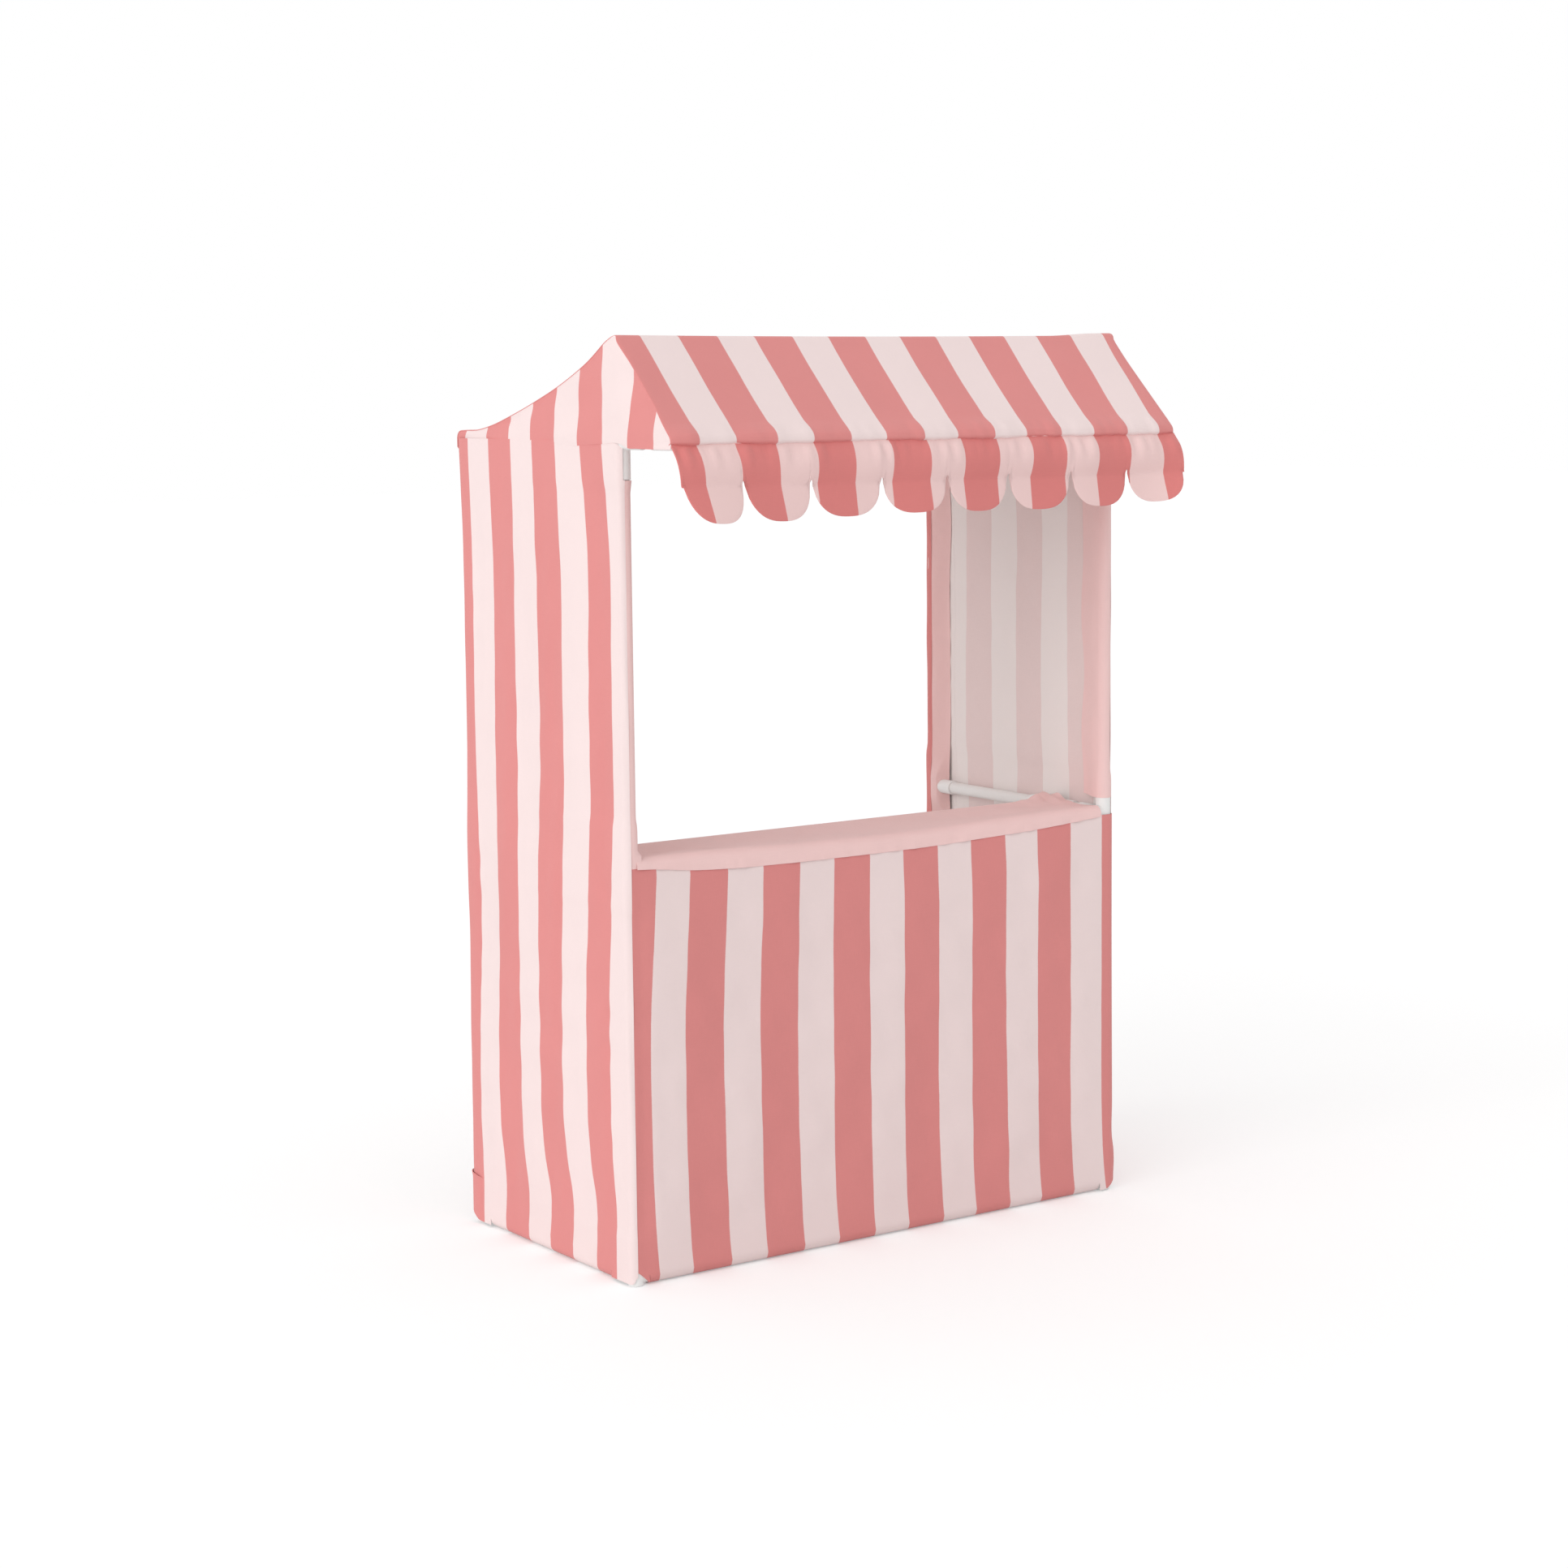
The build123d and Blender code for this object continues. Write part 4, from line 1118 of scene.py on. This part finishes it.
class STALL_OT_front_cloth(bpy.types.Operator):
    """Sew the front cloth with its hem and its wrap round the right post"""
    bl_idname = "stall.front_cloth"
    bl_label = "Front cloth"

    def execute(self, context):
        sizes = context.scene.stall_sizes
        reach = np.concatenate([
            stops(FRONT_LEFT, -POST_X, step=1.6 * MM)[:-1],
            stops(-POST_X, -POST_X + 0.008, -FRONT_HEM_X - HEM_SLIT, -FRONT_HEM_X + HEM_SLIT,
                  step=2.6 * MM),
            stops(-FRONT_HEM_X + HEM_SLIT, FRONT_HEM_X - HEM_SLIT, FRONT_HEM_X + HEM_SLIT, POST_X,
                  step=7 * MM)[1:],
            stops(POST_X, POST_X + ROUND * pi / 2, FRONT_RIGHT, step=2.6 * MM)[1:],
        ])
        share = stops(0.0, 1.0, step=0.0115)
        folded = BASE_Z - pi * ROUND
        below = stops(BASE_Z, FRONT_END, folded, folded - 0.024, step=3.4 * MM)[1:]
        top = front_seam(reach) + np.where(reach > TURNED_EDGE_X, 1.0, 7.0) * MM
        upper = top[None, :] + (BASE_Z - top[None, :]) * share[:, None]
        height = np.concatenate([upper, np.broadcast_to(below[:, None], (len(below), len(reach)))])
        along = np.broadcast_to(reach[None, :], height.shape)
        points = front_at(along, height, sizes)
        along_mid = ((reach[1:] + reach[:-1]) / 2)[None, :]
        height_mid = (height[1:, 1:] + height[:-1, :-1]) / 2
        keep = ~((height_mid < FRONT_END) & (abs(along_mid) > FRONT_HEM_X))
        keep &= ~((height_mid < BASE_Z) & (abs(abs(along_mid) - FRONT_HEM_X) < HEM_SLIT))
        pattern = np.stack([along - FRONT_STRIPE - front_drift(along, height), height], axis=-1)
        piece = sew(
            "front_cloth", points, pattern, sizes.cloth_thickness, cloth_finishes(context.scene), keep,
            flip=True)

        def place(first, second):
            return front_at(first, second, sizes)
        hem = np.linspace(-FRONT_HEM_X + 0.004, FRONT_HEM_X - 0.004, 320)
        turned_edge = np.linspace(POST_X - 0.010, FRONT_RIGHT - 0.004, 40)
        rows = [(hem, FRONT_HEM_LINE), (turned_edge, TURNED_EDGE_LINE)]
        thread = thread_finish(context.scene)
        seams = stitch_line("front_stitching", place, -1, rows, sizes.stitch_length, thread)
        hang(piece, points, keep,
             ("front_panel",))
        self.corner_boots(context.scene, sizes)
        return {"FINISHED"}

    @staticmethod
    def corner_boots(scene, sizes):
        """Short pieces sewn round the feet of the rear posts, with an open slit above them."""
        for name, side in (("rear_left_boot", -1), ("rear_right_boot", 1)):
            reach = stops(DEPTH - 0.028, DEPTH, DEPTH + radians(150) * ROUND, step=2.6 * MM)
            share = np.linspace(0.0, 1.0, 20)
            along, down = np.meshgrid(reach, share)
            top = 0.076 + 0.006 * np.clip((along - DEPTH + 0.024) / 0.034, 0, 1)
            height = top + (WALL_END - top) * down
            emerge = -0.9 * MM + 3.0 * MM * gentle((along - DEPTH + 0.027) / 0.018)
            lip = 1.3 * MM * gentle((0.10 - down) / 0.10)
            points = wall_at(side, along, height, sizes, proud=emerge + lip)
            pattern = np.stack([wall_print(side, along, height), height], axis=-1)
            centre = ((reach[1:] + reach[:-1]) / 2)[None, :]
            low = (height[1:, 1:] + height[:-1, :-1]) / 2
            keep = ~((low < FOOT_CUT) & (centre > DEPTH + 1.5 * ROUND))
            piece = sew(
                name, points, pattern, sizes.cloth_thickness, cloth_finishes(scene), keep, flip=side > 0)
            hang(piece, points, keep)


# Counter: plain cloth over both counter bars

# Rows of the counter cloth from its seam with the front cloth up to the bar
SEAM_ROWS = 5


def counter_line():
    """Depth and height over the bars of the counter cloth, from the front seam to its channel stitch."""
    spots = [(-ROUND - 1.7 * MM, 0.0)] * SEAM_ROWS
    for angle in np.linspace(radians(176), radians(92), 14):
        swell = ROUND + (0.4 + 1.3 * sin(angle - pi / 2)) * MM
        spots.append((swell * cos(angle), swell * sin(angle)))
    for share in np.linspace(0.0, 1.0, 20)[1:-1]:
        spots.append((BAR_DEPTH * share, ROUND + 0.4 * MM))
    for angle in np.linspace(radians(90), radians(-90), 18):
        spots.append((BAR_DEPTH + ROUND * cos(angle), ROUND * sin(angle)))
    for share in np.linspace(0.0, 1.0, 8)[1:]:
        spots.append((BAR_DEPTH - 0.044 * share, -ROUND + (2 * ROUND - 5.5 * MM) * gentle(share)))
    return np.array(spots)


class STALL_OT_counter_cloth(bpy.types.Operator):
    """Sew the plain counter cloth over the two counter bars"""
    bl_idname = "stall.counter_cloth"
    bl_label = "Counter cloth"

    def execute(self, context):
        sizes = context.scene.stall_sizes
        line = counter_line()
        depth, rise = line[:, :1], line[:, 1:]
        share = stops(0.0, 1.0, step=0.0085)[None, :]
        back = gentle(depth / BAR_DEPTH)
        left = -(POST_X - 15 * MM) + back * 2 * MM - gentle(-depth / ROUND) * 10 * MM
        right = POST_X - 16 * MM + back * 17 * MM
        x = left + (right - left) * share
        steps = np.hypot(np.diff(line[:, 0]), np.diff(line[:, 1]))
        steps[:SEAM_ROWS] = 2.5 * MM
        ran = np.concatenate([[0.0], np.cumsum(steps)])[:, None]
        between = np.sin(pi * np.clip(depth / BAR_DEPTH, 0, 1)) * (rise > 0)
        ends = np.clip((1 - abs(2 * share - 1)) / 0.05, 0, 1)
        top = COUNTER_Z + rise - bar_drop(x) * (1.0 - np.clip(depth / BAR_DEPTH, 0, 1))
        seam = front_seam(x)
        row = np.arange(len(line))[:, None]
        hem = seam - 1 * MM
        turned = np.maximum(top[SEAM_ROWS:SEAM_ROWS + 1] - 2 * MM, seam + 1 * MM)
        height = np.where(row < SEAM_ROWS, hem + (turned - hem) * row / SEAM_ROWS, np.maximum(top, turned))
        height = np.where((depth > BAR_DEPTH / 2) | (row > 12), top, height)
        uneven = 0.0016 * ripple(x, ran, 12, 0.13) * ends
        height = height - between * (sizes.counter_dip * (0.75 + 0.25 * ends) - uneven)
        height = height - 2.2 * MM * back * gentle((0.395 - abs(x)) / 0.02) * gentle(rise / 0.008)
        bunch = np.exp(-((x - POST_X + 0.012) / 0.040) ** 2)
        bunch = bunch * np.exp(-((depth - BAR_DEPTH - 0.004) / 0.045) ** 2)
        height = height + bunch * (rise > -0.004) * (0.007 + 0.004 * ripple(x, depth, 14, 0.028))
        gather = ripple(x, x * 0, 17, 0.024) * 0.0013 + ripple(x, x * 0, 18, 0.08) * 0.0011
        gather = np.maximum(gather, -0.0004)
        near_seam = gentle((0.020 - ran) / 0.020)
        on_bar = (1 - near_seam) * ripple(x, ran, 19, 0.05) * (ran < 0.04)
        depth = depth - near_seam * (gather + 0.0008) - 0.0008 * on_bar
        points = stall_points(x, depth, height)
        pattern = np.stack(np.broadcast_arrays(x, ran), axis=-1)
        piece = sew("counter_top_cloth", points, pattern, sizes.cloth_thickness,
                    cloth_finishes(context.scene, plain_side=True), flip=True)
        hang(piece, points, None,
             ("counter_cloth",))
        return {"FINISHED"}


class STALL_OT_frame_finish(bpy.types.Operator):
    """Give the tubes and the moulded fittings their white plastics"""
    bl_idname = "stall.frame_finish"
    bl_label = "Tubes and fittings"

    def execute(self, context):
        tints = context.scene.stall_colours
        tube = material("white_tube_plastic", moulded(tints.tube, 0.34, 900.0))
        fitting = material("white_moulded_fitting", moulded(tints.fitting, 0.42, 1600.0))
        fittings = ("corners", "elbows", "crosses", "tees")
        for name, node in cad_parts.items():
            node.data.materials.clear()
            node.data.materials.append(fitting if name.endswith(fittings) else tube)
        return {"FINISHED"}


# Stage

CAMERA_PLACE = (-2.7726, -3.7437, 1.3320)
CAMERA_YAW = radians(34.727)
CAMERA_PITCH = radians(7.526)
CAMERA_ROLL = radians(-0.5885)
CAMERA_LENS = 69.82
SKY_LIGHT = 0.80
FLOOR_GLOW = 0.28
WINDOW_LIGHT = 1.52
WINDOW_ANGLE = radians(65)
WINDOW_SIDE = (-0.950, -0.24, 0.20)
WHITE = (1.0, 1.0, 1.0)


class STALL_OT_stage(bpy.types.Operator):
    """Set up the floor, the studio light and the camera"""
    bl_idname = "stall.stage"
    bl_label = "Stage"

    def execute(self, context):
        scene = context.scene
        self.floor(scene)
        self.light(scene)
        self.camera(scene)
        scene.view_settings.view_transform = "Standard"
        return {"FINISHED"}

    @staticmethod
    def seen(finish):
        """1 for what the camera sees directly, in gloss or through clear things, 0 for lighting."""
        path = finish.node("ShaderNodeLightPath").socket.node
        camera, glossy, clear = (
            Value(finish, path.outputs[f"Is {kind} Ray"]) for kind in ("Camera", "Glossy", "Transmission"))
        total = camera + glossy + clear
        return total.math("MINIMUM", total, 1.0)

    def floor(self, scene):
        grid = np.linspace(-30.0, 30.0, 13)
        x, y = np.meshgrid(grid, grid)
        corners = np.stack([x, y, np.full_like(x, -0.0002)], axis=-1).reshape(-1, 3)
        faces = grid_cells(*x.shape)
        tint = scene.stall_colours.floor

        def dress(finish):
            paint = finish.node("ShaderNodeBsdfDiffuse", {}, {"Color": tuple(tint)})
            glow = finish.node("ShaderNodeEmission", {}, {"Color": WHITE, "Strength": FLOOR_GLOW})
            bright = finish.node("ShaderNodeAddShader", {}, {0: paint, 1: glow})
            shown = finish.node("ShaderNodeMixShader", {}, {0: self.seen(finish), 1: paint, 2: bright})
            finish.node("ShaderNodeOutputMaterial", {}, {"Surface": shown})
        paint = material("studio_floor_paint", dress)
        new_piece("studio_floor", corners.tolist(), faces.reshape(-1, 4).tolist(), (paint,))

    def light(self, scene):
        world = bpy.data.worlds.new("studio")
        scene.world = world
        finish = Finish(world)
        light, white = (
            finish.node("ShaderNodeBackground", {}, {"Color": WHITE, "Strength": strength})
            for strength in (SKY_LIGHT, 1.0))
        shown = finish.node("ShaderNodeMixShader", {}, {0: self.seen(finish), 1: light, 2: white})
        finish.node("ShaderNodeOutputWorld", {}, {"Surface": shown})
        lamp = bpy.data.lights.new("window_light", "SUN")
        lamp.energy = WINDOW_LIGHT
        lamp.angle = WINDOW_ANGLE
        key = bpy.data.objects.new("window_light", lamp)
        scene.collection.objects.link(key)
        key.rotation_euler = Matrix(self.turned(np.array(WINDOW_SIDE))).to_euler()

    @staticmethod
    def turned(back):
        """Axes of a lamp whose light comes from the given direction."""
        back = back / np.linalg.norm(back)
        side = np.cross((0.0, 0.0, 1.0), back)
        side /= np.linalg.norm(side)
        up = np.cross(back, side)
        return np.stack([side, up, back], axis=1).tolist()

    @staticmethod
    def camera(scene):
        ahead = np.array([sin(CAMERA_YAW), cos(CAMERA_YAW), 0.0])
        forward = ahead * cos(CAMERA_PITCH) - np.array([0.0, 0.0, sin(CAMERA_PITCH)])
        right = np.array([cos(CAMERA_YAW), -sin(CAMERA_YAW), 0.0])
        up = np.cross(right, forward)
        tilted = cos(CAMERA_ROLL) * right + sin(CAMERA_ROLL) * up
        upward = cos(CAMERA_ROLL) * up - sin(CAMERA_ROLL) * right
        data = bpy.data.cameras.new("photo_camera")
        data.sensor_width = 36.0
        data.lens = CAMERA_LENS
        data.clip_end = 200.0
        camera = bpy.data.objects.new("photo_camera", data)
        axes = Matrix(np.stack([tilted, upward, -forward], axis=1).tolist()).to_4x4()
        axes.translation = (CAMERA_PLACE[0], CAMERA_PLACE[1] + FRONT_Y, CAMERA_PLACE[2])
        camera.matrix_world = axes
        scene.collection.objects.link(camera)
        scene.camera = camera


PIECES = (
    STALL_OT_stage,
    STALL_OT_frame_finish,
    STALL_OT_side_walls,
    STALL_OT_facings,
    STALL_OT_gables,
    STALL_OT_roof,
    STALL_OT_valance,
    STALL_OT_front_cloth,
    STALL_OT_counter_cloth,
)


class STALL_PT_cover(bpy.types.Panel):
    """Pieces of the stall, with their sizes and colours"""
    bl_label = "Play stall"
    bl_idname = "STALL_PT_cover"
    bl_space_type = "VIEW_3D"
    bl_region_type = "UI"
    bl_category = "Stall"

    def draw(self, context):
        for group in (context.scene.stall_sizes, context.scene.stall_colours):
            column = self.layout.column(align=True)
            for name in group.__annotations__:
                column.prop(group, name)
        column = self.layout.column(align=True)
        for piece in PIECES:
            column.operator(piece.bl_idname)


CLASSES = (StallSizes, StallColours, *PIECES, STALL_PT_cover)


def register():
    for each in CLASSES:
        bpy.utils.register_class(each)
    bpy.types.Scene.stall_sizes = bpy.props.PointerProperty(type=StallSizes)
    bpy.types.Scene.stall_colours = bpy.props.PointerProperty(type=StallColours)


def unregister():
    del bpy.types.Scene.stall_colours
    del bpy.types.Scene.stall_sizes
    for each in reversed(CLASSES):
        bpy.utils.unregister_class(each)


def main():
    register()
    for piece in PIECES:
        group, name = piece.bl_idname.split(".")
        getattr(getattr(bpy.ops, group), name)()


if __name__ == "__main__":
    main()
